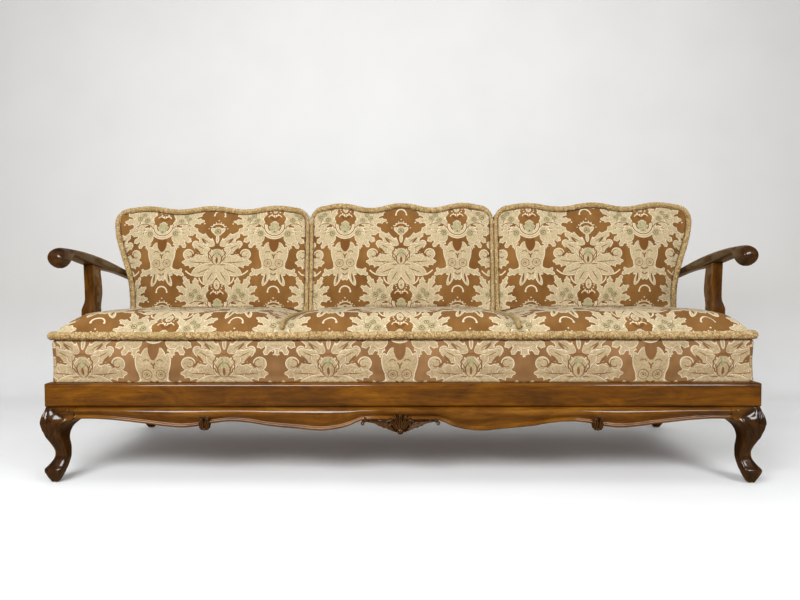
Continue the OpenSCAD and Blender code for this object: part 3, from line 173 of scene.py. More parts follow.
class SofaCushions(bpy.types.PropertyGroup):
    """Sizes of the back cushions"""
    heights: FloatVectorProperty(name="Heights", description="Foot to crest, left, middle, right",
                                 default=(0.398, 0.406, 0.405), unit="LENGTH")
    waves: FloatVectorProperty(name="Waves", description="Rise of the top edge's wave",
                               default=(0.0065, 0.009, 0.008), unit="LENGTH")
    rake: FloatProperty(name="Rake", description="Lean of the back", default=math.radians(8), unit="ROTATION")
    foot_width: length("Foot width", "Width of an outer cushion at its foot", 659)
    flare: length("Flare", "How far the outer cushions widen", 71)
    corner: length("Corner radius", "Radius of the top corners", 58)
    place: length("Place", "Box face to the foot of the fringe", 488)
    fringe: length("Fringe", "Diameter of the moss fringe", 21)
    sag: length("Sag", "How far the outer corners of the feet sink", 10)
    border: length("Border", "Depth of the border", 122)
    crown: length("Crown", "Height of the front crown", 44)
    drawn_in: length("Drawn in", "How far the border's middle is drawn in", 5)
    back_y: length("Back place", "Box face to the front of the back frame", 620)


class SofaCarvings(bpy.types.PropertyGroup):
    """Sizes of the shell and the leaf carvings"""
    half_width: length("Half width", "Half the width of the shell carving", 108)
    depth: length("Depth", "Height of the curve of the shell's lower edge", 65)
    top: length("Top", "Floor to the top of the shell carving", 188)
    below: length("Below", "How far the shell hangs below the apron", 5)
    relief: length("Relief", "How far the shell's ground stands out", 2.5)
    fan: length("Fan", "Length of the shell's middle leaf", 53)
    leaf_place: length("Leaf place", "Middle of the sofa to a leaf carving", 562)


class SofaFabric(bpy.types.PropertyGroup):
    """Sizes of the damask"""
    repeat: length("Repeat", "Half the width of the pattern's repeat", 205)
    drop: length("Drop", "Half the height of the pattern's repeat", 288)
    cap: length("Cap", "How far the cloth may move while it fills", 9)
    frames: IntProperty(name="Frames", description="Steps of the cloth", default=16)


def linear(hex_colour):
    """sRGB hex to linear RGBA"""
    c = [int(hex_colour[i:i + 2], 16) / 255 for i in (1, 3, 5)]
    return tuple(x / 12.92 if x <= 0.04045 else ((x + 0.055) / 1.055) ** 2.4 for x in c) + (1.0,)


class SofaColours(bpy.types.PropertyGroup):
    """Shades of each material, from dark to light"""


for look, shades in SHADES.items():
    for number, shade in enumerate(shades):
        SofaColours.__annotations__[look + str(number)] = FloatVectorProperty(
            name="%s %d" % (look.replace("_", " ").capitalize(), number + 1),
            description="Shade %d of %d, from dark to light" % (number + 1, len(shades)),
            default=linear(shade), size=4, min=0.0, max=1.0, subtype="COLOR")

GROUPS = {"sofa_base": SofaBase, "sofa_arms": SofaArms, "sofa_carvings": SofaCarvings, "sofa_seat": SofaSeat,
          "sofa_cushions": SofaCushions, "sofa_fabric": SofaFabric, "sofa_colours": SofaColours}


def sizes(key):
    return getattr(bpy.context.scene, "sofa_" + key)


def shades_of(look):
    """The shades of a material as linear RGBA, from dark to light"""
    return [tuple(getattr(sizes("colours"), look + str(number))) for number in range(len(SHADES[look]))]


# Numbers and meshes

def smooth(table, v, k=1):
    """Cubic curve through column k of a table, at the places v"""
    t = np.asarray(table, float)
    x, y, n = t[:, 0], t[:, k], len(t)
    a, b = np.maximum(np.arange(n) - 1, 0), np.minimum(np.arange(n) + 1, n - 1)
    slope = (y[b] - y[a]) / (x[b] - x[a])
    v = np.clip(v, x[0], x[-1])
    i = np.clip(np.searchsorted(x, v, side="right") - 1, 0, n - 2)
    w = x[i + 1] - x[i]
    u = (v - x[i]) / w
    return (y[i] * (1 + 2 * u) * (1 - u) ** 2 + y[i + 1] * u * u * (3 - 2 * u)
            + slope[i] * w * u * (1 - u) ** 2 + slope[i + 1] * w * u * u * (u - 1))


def spow(v, e):
    """A power that keeps the sign"""
    return np.sign(v) * np.abs(v) ** e


def ease(u):
    """Smooth step from 0 to 1"""
    c = np.clip(u, 0, 1)
    return c * c * (3 - 2 * c)


def bell(v, middle, wide, power=2):
    """1 at the middle, falling to nothing a few widths away on both sides"""
    return np.exp(-((v - middle) / wide) ** power)


def waver(points, size, seed=0.0):
    """Smooth noise from -1 to 1 at each point, its waves about as long as size"""
    return np.array([noise.noise(Vector((p[0] / size + seed, p[1] / size, p[2] / size))) for p in points])


def unit(v):
    """Vectors of length one, along the last axis"""
    return v / np.linalg.norm(v, axis=-1, keepdims=True)


def run_along(line):
    """Distance from a line's start to each of its points"""
    return np.concatenate([[0], np.cumsum(np.linalg.norm(np.diff(line, axis=0), axis=1))])


def resample(line, n, endpoint=True):
    """n points at even distances along a line"""
    at = run_along(line)
    t = np.linspace(0, at[-1], n, endpoint=endpoint)
    return np.stack([np.interp(t, at, column) for column in line.T], 1)


def skin(rings, closed_ends=True, around=True, endless=False):
    """Vertices and faces through rings of equally many points"""
    r = np.asarray(rings, float)
    m, n = r.shape[:2]
    last = n if around else n - 1
    faces = [(j * n + i, j * n + (i + 1) % n, (j + 1) % m * n + (i + 1) % n, (j + 1) % m * n + i)
             for j in range(m if endless else m - 1) for i in range(last)]
    verts = r.reshape(-1, 3)
    if closed_ends:
        verts = np.vstack([verts, r[0].mean(0), r[-1].mean(0)])
        a = m * n
        faces += [(a, (i + 1) % n, i) for i in range(n)]
        faces += [(a + 1, (m - 1) * n + i, (m - 1) * n + (i + 1) % n) for i in range(n)]
    return verts, faces


def joined(parts):
    """Several vertex and face lists as one"""
    starts = np.cumsum([0] + [len(v) for v, f in parts])
    faces = [tuple(i + at for i in face) for at, (v, f) in zip(starts, parts) for face in f]
    return np.vstack([v for v, f in parts]), faces


def flipped(f):
    return [tuple(reversed(face)) for face in f]


def mirrored(v, f):
    """The same mesh on the other side of the middle"""
    return v * (-1, 1, 1), flipped(f)


def outward(v, f):
    """A closed mesh with its faces turned outwards"""
    volume = sum(np.dot(v[q[0]], np.cross(v[q[k]], v[q[k + 1]])) for q in f for k in range(1, len(q) - 1))
    return v, (f if volume > 0 else flipped(f))


def make(name, verts, faces, material, slot=None, marks=None, front=BOX_Y):
    """A smooth mesh object from points measured from the box's front face, marked in an attribute"""
    mesh = bpy.data.meshes.new(name)
    mesh.from_pydata((verts + np.array((0, front, 0))).tolist(), [], [list(map(int, f)) for f in faces])
    mesh.validate()
    mesh.polygons.foreach_set("use_smooth", [True] * len(mesh.polygons))
    if marks is not None:
        layer = mesh.attributes.new("cloth", "FLOAT_VECTOR", "POINT")
        layer.data.foreach_set("vector", np.asarray(marks, np.float32).ravel())
    mesh.materials.append(material)
    mesh.update()
    obj = bpy.data.objects.new(name, mesh)
    bpy.context.scene.collection.objects.link(obj)
    return obj


def fitted(name, mesh, look, slot="walnut_dark", marks=None, body="frame", node=None):
    """A piece that moves with a body, in the place of a node that has the same name unless given"""
    piece = make(name, *mesh, MATERIALS[look], slot, marks)
    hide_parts(node or name.lower())
    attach(piece, body)


def fitted_pair(name, right, look, marks=None):
    """A piece on the right of the frame and its mirror image on the left"""
    for side, mesh in (("left", mirrored(*right)), ("right", right)):
        fitted((name % side).capitalize(), mesh, look, marks=marks)


# Materials

class Shader:
    """Adds nodes to one tree; a value is a number, a colour or the output to link from"""

    def __init__(self, tree):
        self.tree = tree

    def node(self, kind, *values, out=0, stops=None, **settings):
        """Adds a node, such as Math SINE, with the values of its inputs in order; settings can name inputs
        too, stops are a ramp's places and shades. Gives an output that is in use, by number or name"""
        kind, _, operation = kind.partition(" ")
        n = self.tree.nodes.new("ShaderNode" + kind)
        if operation:
            n.operation = operation
        links = []
        for key, value in settings.items():
            if key in n.inputs:
                links.append((n.inputs[key], value))
            else:
                setattr(n, key, value)
        links += zip([i for i in n.inputs if i.enabled], values)
        for socket, value in links:
            if isinstance(value, bpy.types.NodeSocket):
                self.tree.links.new(value, socket)
            else:
                socket.default_value = value
        if stops:
            for k, (at, shade) in enumerate(zip(*stops)):
                elements = n.color_ramp.elements
                e = elements[k] if k < len(elements) else elements.new(at)
                e.position = at
                e.color = shade if isinstance(shade, tuple) else (shade, shade, shade, 1)
        used = [o for o in n.outputs if o.enabled]
        if out is None:
            return used
        return n.outputs[out] if isinstance(out, str) else used[out]

    def union(self, masks):
        """The greatest of several values"""
        total = masks[0]
        for mask in masks[1:]:
            total = self.node("Math MAXIMUM", total, mask)
        return total

    def uneven(self, factor, rough):
        """Roughness that wavers round a value"""
        return self.node("ValToRGB", factor, stops=((0.2, 0.8), (rough + 0.08, rough - 0.06)))

    def finish(self, bump, distance, strength, **links):
        """Links values such as Base_Color to the surface and gives it a bump; returns the material"""
        for key, value in links.items():
            self.tree.links.new(value, self.surface.inputs[key.replace("_", " ")])
        normal = self.node("Bump", Height=bump, Distance=distance, Strength=strength)
        self.tree.links.new(normal, self.surface.inputs["Normal"])
        return self.material


def new_shader(name, **numbers):
    """The shader of a new material, with numbers such as Coat_Weight set on its surface"""
    material = bpy.data.materials.new(name)
    material.use_nodes = True
    s = Shader(material.node_tree)
    s.material, s.surface = material, material.node_tree.nodes["Principled BSDF"]
    for key, value in numbers.items():
        s.surface.inputs[key.replace("_", " ")].default_value = value
    return s


def grain(s, tones, axis, mottle):
    """Colour of wood whose grain runs along an axis, with its pores and its figure"""
    place = s.node("TexCoord", out="Object")
    fine, wide = (s.node("Mapping", place, Scale=[k if i == axis else 1.0 for i in range(3)])
                  for k in (0.09, 0.35))
    pores = s.node("TexNoise", fine, 420, 3, 0.6)
    figure = s.node("TexNoise", wide, 17, 6, 0.65, Distortion=1.2)
    streaks = s.node("TexNoise", fine, 46, 6, 0.62, Distortion=0.5)
    streaks = s.node("ValToRGB", streaks, stops=((0.34, 0.5, 0.66), tones))
    patches = s.node("ValToRGB", figure, stops=((0.34, 0.5, 0.68), tones))
    shade = s.node("ValToRGB", pores, stops=((0.35, 0.5), (0.5, 1.0)))
    colour = s.node("Mix", mottle, streaks, patches, data_type="RGBA")
    return s.node("Mix", 0.5, colour, shade, data_type="RGBA", blend_type="MULTIPLY"), pores, figure


def wood(name, look, axis, rough=0.35, coat=1.0, mottle=0.5, knee=None):
    """Lacquered wood; knee gives the look and the axis of the wood that a leg's marks blend in"""
    s = new_shader(name, Specular_IOR_Level=0.2, Coat_Weight=coat, Coat_Roughness=0.07)
    colour, pores, figure = grain(s, shades_of(look), axis, mottle)
    if knee:
        cloth = s.node("Attribute", attribute_name="cloth", out="Vector")
        share, depth = s.node("SeparateXYZ", cloth, out=None)[:2]
        colour = s.node("Mix", share, colour, grain(s, shades_of(knee[0]), knee[1], mottle)[0],
                        data_type="RGBA")
        # Painted shade: the knee's carved grooves are painted darker the deeper they are cut
        colour = s.node("Mix", s.node("Math MULTIPLY", depth, 0.8), colour, shades_of("groove")[0],
                        data_type="RGBA")
    return s.finish(pores, 0.0001, 0.4, Base_Color=colour, Roughness=s.uneven(figure, rough))


def carved_wood(name):
    """Dark lacquered carving with rubbed, golden high spots and a darker ground"""
    s = new_shader(name, Roughness=0.4, Specular_IOR_Level=0.3, Coat_Weight=0.6, Coat_Roughness=0.15)
    ground, *tones, painted_highlight = shades_of("carving")
    spots = s.node("TexNoise", s.node("TexCoord", out="Object"), 120, 5, 0.6)
    # Painted highlight: the pointed high spots of the carving are painted a light golden shade
    high = s.node("ValToRGB", s.node("NewGeometry", out="Pointiness"), stops=((0.52, 0.66), (0.0, 1.0)))
    colour = s.node("Mix", high, s.node("ValToRGB", spots, stops=((0.3, 0.55, 0.75), tones)), painted_highlight,
                    data_type="RGBA")
    # Painted shade: the ground behind the leaves is painted in the darkest shade
    cloth = s.node("Attribute", attribute_name="cloth", out="Vector")
    colour = s.node("Mix", s.node("SeparateXYZ", cloth, out=None)[0], colour, ground, data_type="RGBA")
    return s.finish(spots, 0.0004, 0.5, Base_Color=colour)


def plain(name, look, rough, metal=0.0):
    """Metal or plastic with a fine uneven finish"""
    s = new_shader(name, Metallic=metal)
    spots = s.node("TexNoise", s.node("TexCoord", out="Object"), 300, 4)
    patchy = s.node("ValToRGB", spots, stops=((0.3, 0.7), (0.35, 0.95)))
    colour = s.node("Mix", 0.25, shades_of(look)[0], patchy, data_type="RGBA", blend_type="MULTIPLY")
    return s.finish(spots, 0.0001, 0.5, Base_Color=colour, Roughness=s.uneven(spots, rough))


def moss(name, olive=0.35):
    """Brushed moss fringe: cut yarn, dark between its tufts; olive is how far it is tinted at most"""
    s = new_shader(name, Roughness=0.95, Specular_IOR_Level=0.1, Sheen_Weight=0.1)
    place = s.node("TexCoord", out="Object")
    cloth = s.node("Attribute", attribute_name="cloth", out="Vector")
    tuft = s.node("SeparateXYZ", cloth, out=None)[0]
    fibres = s.node("TexNoise", place, 480, 4, 0.75, Distortion=0.8)
    # Painted shade: yarn that stands out less is painted darker, as between the tufts; the fibres' noise is
    # the yarn's own tone
    level = s.node("Math MULTIPLY_ADD", fibres, 0.7, s.node("Math MULTIPLY", tuft, 0.55))
    colour = s.node("ValToRGB", level, stops=((0.28, 0.48, 0.64, 0.86), shades_of("fringe")))
    tint = s.node("ValToRGB", s.node("TexNoise", place, 6, 3), stops=((0.4, 0.7), (olive - 0.35, olive)))
    colour = s.node("Mix", tint, colour, shades_of("olive")[0], data_type="RGBA")
    return s.finish(fibres, 0.002, 0.9, Base_Color=colour)


# Petals of the damask: x and height of the base, direction, length and half width, and for a lobed one its
# lobes and their cut; all in mm and degrees. The palmette's axis is at x = 0, the cartouche's at x = 205.
# BODIES melt into one another, LEAVES lie over them and over the leaves before them.
BODIES = [
    (0, 88, 90, 36, 17), (0, 96, 40, 34, 8), (0, 60, 90, 34, 6), (0, -108, 90, 34, 10),
    (44, -6, 24, 56, 12), (112, 2, -50, 14, 1.6), (34, -160, 46, 66, 13), (112, 126, 200, 32, 3.2),
    (188, -44, 92, 110, 23), (182, -30, 106, 84, 14), (205, -60, 90, 108, 30), (178, -52, 91, 104, 15),
    (184, -30, 202, 70, 13, 2.6, 0.4), (196, -42, 190, 40, 12), (140, -52, 118, 24, 6),
    (190, -44, 246, 56, 10), (200, -40, 268, 36, 9), (205, 92, 90, 56, 22, 3, 0.3)]
LEAVES = [
    (10, 52, 33, 84, 22, 2.6, 0.4), (24, 26, 27, 72, 20, 1.5, 0.25), (14, -14, 3, 114, 25, 5, 0.45),
    (8, -12, 16, 78, 21, 3, 0.3), (6, -20, -21, 92, 20), (2, -24, -58, 78, 21), (4, 4, 42, 62, 17, 2, 0.2),
    (0, -26, 90, 66, 27), (58, -142, 116, 58, 14, 2.4, 0.4), (70, -140, 84, 76, 17, 3, 0.42),
    (80, -138, 62, 88, 17, 3.4, 0.42), (76, -138, 30, 82, 17, 3.2, 0.42), (72, -140, 0, 80, 18, 3.2, 0.42),
    (66, -146, -32, 80, 19, 3, 0.4), (60, -128, 46, 52, 22), (150, 104, 152, 62, 17, 2.6, 0.42),
    (152, 102, 182, 68, 17, 2.8, 0.42), (152, 100, 210, 66, 17, 2.8, 0.42),
    (152, 98, 236, 64, 16, 2.6, 0.42), (156, 98, 262, 56, 15, 2.4, 0.4), (170, 90, 200, 44, 20)]
# Discs: x, height, radius
DISCS = [
    (79, 58, 13), (104, 20, 20), (0, 0, 40), (76, -132, 28), (146, 98, 26), (185, -12, 17), (131, -36, 5),
    (19, -86, 2), (20, -95, 2.3), (17.5, -104, 2.3), (12, -111.5, 2.5), (4, -117, 2.7), (153, -150, 2.7),
    (52, 138, 2.7), (143, 47, 2.6), (149.5, 40, 2.4), (153.6, 32, 2.1), (156.4, 24, 1.8), (157.6, 17, 1.5),
    (185, -116, 3.4), (0, 150, 2.4), (9, 140, 2.2), (18, 134, 2.2), (27, 126, 2.2), (34, 117, 2)]
# Arcs: x, height, radius, width, direction, half opening
BANDS = [
    (0, 108, 28, 3.2, 90, 58), (68, 2, 62, 4.4, -84, 42), (34, -62, 29, 4.4, -72, 66),
    (13, -127, 11, 3.2, 90, 78), (205, 128, 30, 9, -90, 100), (205, 128, 44, 12, -90, 112),
    (205, -116, 20, 4.4, 90, 86)]
# Ground-coloured lines and gaps cut into the leaves
DARK_LEAVES = [
    (0, -14, 90, 24, 4), (58, 78, 226, 26, 3), (80, 44, 226, 30, 3.4), (92, 8, 128, 26, 3.4),
    (30, -12, 4, 70, 1.4), (26, -32, -21, 50, 1.4), (14, -44, -58, 38, 1.4), (205, 30, 103, 50, 10.5),
    (28, 62, 32, 40, 1.3), (46, 40, 27, 30, 1.3), (205, 4, 90, 14, 2.4), (205, 14, 128, 12, 2),
    (180, -50, 262, 34, 3), (205, -38, 152, 16, 2.2), (205, -56, 146, 14, 2), (205, 150, 132, 26, 4.5),
    (14, -2, 62, 26, 1.5), (10, -18, -4, 24, 1.5), (163, -50, 214, 16, 2.4)]
DARK_BANDS = [
    (100, 21, 11, 2.6, 200, 118), (205, 128, 36.5, 2.6, -90, 122), (132, 96, 42, 2.6, 82, 50),
    (184, 22, 10, 2.6, 90, 60), (185, -12, 14, 2, 0, 180), (185, -12, 6.5, 1.4, 0, 180),
    (157, 99, 8, 1.6, 0, 180), (64, -136, 7.5, 1.5, 0, 180), (92, -128, 7.5, 1.5, 0, 180),
    (78, -114, 6.5, 1.4, 0, 180), (0, 106, 9, 1.6, 90, 180), (0, 92, 12, 1.6, 90, 70)]
DARK_DISCS = [
    (185, -12, 3), (157, 99, 2.4), (64, -136, 2.2), (92, -128, 2.2), (78, -114, 1.8), (0, -94, 2.6),
    (0, 106, 3), (205, 106, 3)]
# Grey-green fields
GREEN = [
    (157, 99, 13), (64, -136, 12), (92, -128, 12), (78, -114, 10), (0, 106, 12), (205, 122, 20),
    (0, 24, 14)]
# The window of the cloth that the rows above fill starts this far below the palmette's middle, in mm
WINDOW_LOW = 133.0


def node_group(build):
    """A node group with one output, a mask in millimetres"""
    tree = bpy.data.node_groups.new("Damask " + build.__name__, "ShaderNodeTree")
    for kind, keys in (("Vector", ("P", "At", "Along", "Across")), ("Float", ("Width", "Teeth", "Cut"))):
        for key in keys:
            tree.interface.new_socket(key, in_out="INPUT", socket_type="NodeSocket" + kind)
    tree.interface.new_socket("Mask", in_out="OUTPUT", socket_type="NodeSocketFloat")
    start, end = tree.nodes.new("NodeGroupInput"), tree.nodes.new("NodeGroupOutput")
    tree.links.new(build(Shader(tree), start.outputs), end.inputs[0])
    return tree


def petal_mask(s, i):
    """How far inside a lobed petal; Along and Across are scaled by its length and its half width"""
    fullness, reach, slant = 2.42, 40.0, -0.8
    d = s.node("VectorMath SUBTRACT", i["P"], i["At"])
    t = s.node("VectorMath DOT_PRODUCT", d, i["Along"])
    a = s.node("Math ABSOLUTE", s.node("VectorMath DOT_PRODUCT", d, i["Across"]))
    belly = s.node("Math SUBTRACT", t, s.node("Math MULTIPLY", t, t))
    w = s.node("Math MULTIPLY_ADD", s.node("Math POWER", s.node("Math MAXIMUM", belly, 0.0), 0.6),
               fullness, s.node("Math MULTIPLY", s.node("Math MINIMUM", belly, 0.0), reach))
    lobe = s.node("Math MULTIPLY_ADD", a, slant, s.node("Math MULTIPLY", t, i["Teeth"]))
    lobe = s.node("Math ABSOLUTE", s.node("Math SINE", s.node("Math MULTIPLY", lobe, math.pi)))
    lobe = s.node("Math MULTIPLY", s.node("Math POWER", lobe, 0.8), i["Cut"])
    w = s.node("Math MULTIPLY", w, s.node("Math SUBTRACT", 1.0, lobe))
    return s.node("Math MULTIPLY", s.node("Math SUBTRACT", w, a), i["Width"])


def disc_mask(s, i):
    """How far inside a disc of radius Width"""
    return s.node("Math SUBTRACT", i["Width"], s.node("VectorMath DISTANCE", i["P"], i["At"]))


def band_mask(s, i):
    """How far inside an arc: Teeth is its radius, Width half its width, Cut the cosine of half its opening"""
    r = s.node("VectorMath DISTANCE", i["P"], i["At"])
    c = s.node("VectorMath DOT_PRODUCT", s.node("VectorMath SUBTRACT", i["P"], i["At"]), i["Along"])
    off = s.node("Math ABSOLUTE", s.node("Math SUBTRACT", r, i["Teeth"]))
    ring = s.node("Math SUBTRACT", i["Width"], off)
    return s.node("Math MINIMUM", ring, s.node("Math SUBTRACT", c, s.node("Math MULTIPLY", r, i["Cut"])))


class Damask:
    """The damask's motifs as masks in one shader; each mask says how many millimetres inside it a point is"""

    def __init__(self, s):
        self.s = s
        self.petal, self.disc, self.band = (node_group(b) for b in (petal_mask, disc_mask, band_mask))
        self.half, self.drop = (getattr(sizes("fabric"), key) / MM for key in ("repeat", "drop"))
        self.unfold()

    def unfold(self):
        """x and v, a point's place in the pattern's window; every second drop is shifted and mirrored"""
        s, cloth = self.s, self.s.node("Attribute", attribute_name="cloth", out="Vector")
        across, up = s.node("SeparateXYZ", cloth, out=None)[:2]
        sway = s.node("TexNoise", cloth, 14, 1)
        u = s.node("Math MULTIPLY_ADD", sway, 3.0, s.node("Math MULTIPLY", across, 1 / MM))
        x = s.node("Math PINGPONG", u, self.half)
        v = s.node("Math FLOORED_MODULO", s.node("Math MULTIPLY_ADD", up, 1 / MM, WINDOW_LOW),
                   2 * self.drop)
        over = s.node("Math GREATER_THAN", v, self.drop)
        turned = s.node("Math SUBTRACT", self.half, s.node("Math MULTIPLY", x, 2.0))
        self.x = s.node("Math MULTIPLY_ADD", over, turned, x)
        self.v = s.node("Math SUBTRACT", s.node("Math MULTIPLY_ADD", over, -self.drop, v), WINDOW_LOW)
        self.place = s.node("CombineXYZ", self.x, self.v)

    def mask(self, kind, **values):
        return self.s.node("Group", node_tree=kind, P=self.place, **values)

    def leaf(self, x, v, degrees, long, wide, teeth=0, cut=0):
        c, s = math.cos(math.radians(degrees)), math.sin(math.radians(degrees))
        return self.mask(self.petal, At=(x, v, 0), Along=(c / long, s / long, 0),
                         Across=(-s / wide, c / wide, 0), Width=wide, Teeth=teeth, Cut=cut)

    def spot(self, x, v, radius):
        return self.mask(self.disc, At=(x, v, 0), Width=radius)

    def arc(self, x, v, radius, wide, degrees, half_open):
        a = math.radians(degrees)
        return self.mask(self.band, At=(x, v, 0), Along=(math.cos(a), math.sin(a), 0), Width=wide / 2,
                         Teeth=radius, Cut=math.cos(math.radians(half_open)))

    def masks(self, kind, rows):
        """A mask for each row, and where it crosses the window's edge a mirrored one a drop away"""
        turn = {self.leaf: 2, self.arc: 4}.get(kind)
        out = []
        for row in rows:
            out.append(row)
            reach = (-row[2], row[2])
            if kind == self.leaf:
                reach = (-5, 5, (row[3] + 4) * math.sin(math.radians(row[2])))
            for over, shift in ((row[1] + min(reach) < -WINDOW_LOW, self.drop),
                                (row[1] + max(reach) > self.drop - WINDOW_LOW, -self.drop)):
                if over:
                    copy = [self.half - row[0], row[1] + shift, *row[2:]]
                    if turn:
                        copy[turn] = 180 - copy[turn]
                    out.append(copy)
        return [kind(*row) for row in out]

    def laid(self, total, masks, seam=1.5):
        """Lays leaves one over the other, each with a seam of ground round it"""
        for mask in masks:
            on = self.s.node("Math GREATER_THAN", mask, -seam)
            total = self.s.node("Math MULTIPLY_ADD", on, self.s.node("Math SUBTRACT", mask, total), total)
        return total

    def above(self, mask, edge, soft=0.9):
        """1 where a mask is above an edge"""
        return self.s.node("MapRange", mask, edge - soft / 2, edge + soft / 2)

    def outline(self, mask, wide):
        return self.s.node("Math SUBTRACT", wide, self.s.node("Math ABSOLUTE", mask))

    def scalloped_shell(self):
        """The ring of scallops in the palmette's middle, above its foot"""
        s, middle, radius, wave, foot = self.s, 18.0, 28.0, 3.2, 6.0
        angle = s.node("Math ARCTAN2", s.node("Math SUBTRACT", self.v, middle), self.x)
        scallop = s.node("Math ABSOLUTE", s.node("Math SINE", s.node("Math MULTIPLY", angle, 6.0)))
        shell = s.node("Math SUBTRACT", s.node("VectorMath DISTANCE", self.place, (0, middle, 0)),
                       s.node("Math MULTIPLY_ADD", scallop, wave, radius))
        return s.node("Math MINIMUM", self.outline(shell, 2.1), s.node("Math ADD", self.v, foot))


def damask(name):
    """Velour with the damask's leaves, florets and palmettes, in the cloth's own millimetres"""
    s = new_shader(name, Roughness=0.85, Sheen_Weight=0.06, Specular_IOR_Level=0.15)
    d = Damask(s)
    light = d.laid(s.union(d.masks(d.spot, DISCS) + d.masks(d.arc, BANDS) + d.masks(d.leaf, BODIES)),
                   d.masks(d.leaf, LEAVES))
    bud = d.outline(d.leaf(0, -20, 90, 44, 17), 1.8)
    dark = s.union(d.masks(d.leaf, DARK_LEAVES) + d.masks(d.arc, DARK_BANDS) + d.masks(d.spot, DARK_DISCS)
                   + [d.scalloped_shell(), bud])
    green = s.union(d.masks(d.spot, GREEN))

    cloth = s.node("Attribute", attribute_name="cloth", out="Vector")
    # Painted sheen: the upright border of the mattress gets its own, greyer shades of the same velour
    border = s.node("Math GREATER_THAN", s.node("SeparateXYZ", cloth, out=None)[2], 0.5)
    pile, weave, yarn = (s.node("TexNoise", cloth, *row)
                         for row in ((9, 3, 0.5), (160, 4, 0.65), (700, 3, 0.7)))
    streak = s.node("TexNoise", s.node("Mapping", cloth, Scale=(1, 0.12, 1)), 60, 3)

    def either(colour):
        """A colour that differs on the border"""
        return s.node("Mix", border, *(colour(part) for part in ("", "border_")), data_type="RGBA")

    ground = either(lambda part: s.node("ValToRGB", pile, stops=((0.3, 0.7), shades_of(part + "ground"))))
    body = either(lambda part: s.node("ValToRGB", weave,
                                      stops=((0.32, 0.62), shades_of(part + "figure"))))
    rim = either(lambda part: shades_of(part + "figure")[2])
    lines = either(lambda part: shades_of(part + "lines")[0])
    figure = s.node("Mix", d.above(light, 2.6, 1.6), rim, body, data_type="RGBA")
    figure = s.node("Mix", s.node("Math MULTIPLY", d.above(green, 0.0, 5.0), 0.75), figure,
                    s.node("ValToRGB", weave, stops=((0.35, 0.6), shades_of("green"))), data_type="RGBA")
    colour = s.node("Mix", d.above(light, 0.0), ground, figure, data_type="RGBA")
    colour = s.node("Mix", d.above(dark, 0.0), colour, lines, data_type="RGBA")
    colour = s.node("Mix", 0.45, colour, s.node("ValToRGB", yarn, stops=((0.3, 0.65), (0.72, 1.0))),
                    data_type="RGBA", blend_type="MULTIPLY")
    colour = s.node("Mix", 0.3, colour, s.node("ValToRGB", streak, stops=((0.35, 0.65), (0.7, 1.0))),
                    data_type="RGBA", blend_type="MULTIPLY")
    return s.finish(yarn, 0.0005, 0.6, Base_Color=colour)


CAD_LOOKS = {
    "amber_x": ("box_front_rail", "box_rear_rail"), "amber_y": ("box_left_rail", "box_right_rail"),
    "dark_x": ("rear_apron", "left_crest_rail", "middle_crest_rail", "right_crest_rail",
               "lower_back_rails"),
    "apron_x": ("front_apron",), "apron_y": ("left_apron", "right_apron"),
    "arm_y": ("left_armrest", "right_armrest"), "post_z": ("left_arm_post", "right_arm_post"),
    "dark_z": ("front_left_leg", "front_right_leg", "rear_left_leg", "rear_right_leg", "left_end_post",
               "right_end_post", "left_mid_post", "right_mid_post"),
    "beech_x": ("front_slat_ledge", "rear_slat_ledges", "corner_braces"),
    "beech_y": ("base_cross_rails", "bed_slats", "box_dowels"), "beech_z": ("back_slats", "arm_dowels"),
    "carving": ("shell_carving", "leaf_carvings"),
    "steel": ("leg_bolts", "arm_bolts", "arm_inserts", "arm_screws", "back_bolts", "back_inserts"),
    "glide": ("foot_glides",),
    "velour": ("seat_mattress", "left_back_cushion", "middle_back_cushion", "right_back_cushion"),
    "moss": ("seat_fringe", "left_back_fringe", "middle_back_fringe", "right_back_fringe"),
    "strip": ("seat_strips",)}
MATERIALS = {}


def build_materials():
    """All materials of the sofa by look; a wood's look ends with the axis of its grain"""
    for look in CAD_LOOKS:
        tone, _, axis = look.partition("_")
        if axis:
            kind, finish = ("Beech", (0.6, 0.0, 0.3)) if tone == "beech" else ("Walnut lacquer " + tone,
                                                                               ())
            MATERIALS[look] = wood(kind + " " + axis, tone, "xyz".index(axis), *finish)
    MATERIALS["knee"] = wood("Walnut lacquer knee", "dark", 2, knee=("apron", 0))
    MATERIALS["carving"] = carved_wood("Carved walnut")
    MATERIALS["steel"] = plain("Zinc-plated steel", "steel", 0.35, 1.0)
    MATERIALS["glide"] = plain("Off-white plastic glide", "glide", 0.5)
    MATERIALS["moss"] = moss("Moss fringe")
    MATERIALS["strip"] = moss("Moss strips", 0.85)
    MATERIALS["velour"] = damask("Damask velour")


def dress_frame():
    """Gives each CAD node its material"""
    for look, names in CAD_LOOKS.items():
        for name in names:
            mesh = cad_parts[name].data
            mesh.materials.clear()
            mesh.materials.append(MATERIALS[look])


# Aprons, legs, arms

def apron_drop(x, half, edge):
    """Height of an apron at a distance from its middle"""
    b = sizes("base")
    share = smooth(edge, np.minimum(np.abs(x) / half, 1))
    return b.apron_end_deep + (b.apron_deep - b.apron_end_deep) * share


def apron_section(drop):
    """Points of y and z down the apron's face, round its bead and up its back"""
    b = sizes("base")
    r, run = b.bead / 2, drop - b.bead
    u = np.linspace(0, 1, 26)
    face = np.stack([-b.bulge * smooth(FACE, u), b.height - run * u * 0.97], 1)
    a = np.radians(np.linspace(112, 270, 12))
    bead = np.stack([r * np.cos(a) - b.bead * 0.22, b.height - drop + r * (1 + np.sin(a))], 1)
    rear = b.apron_back - 0.1 * MM
    return np.vstack([face, bead, [(rear, b.height - drop + r), (rear, b.height)]])


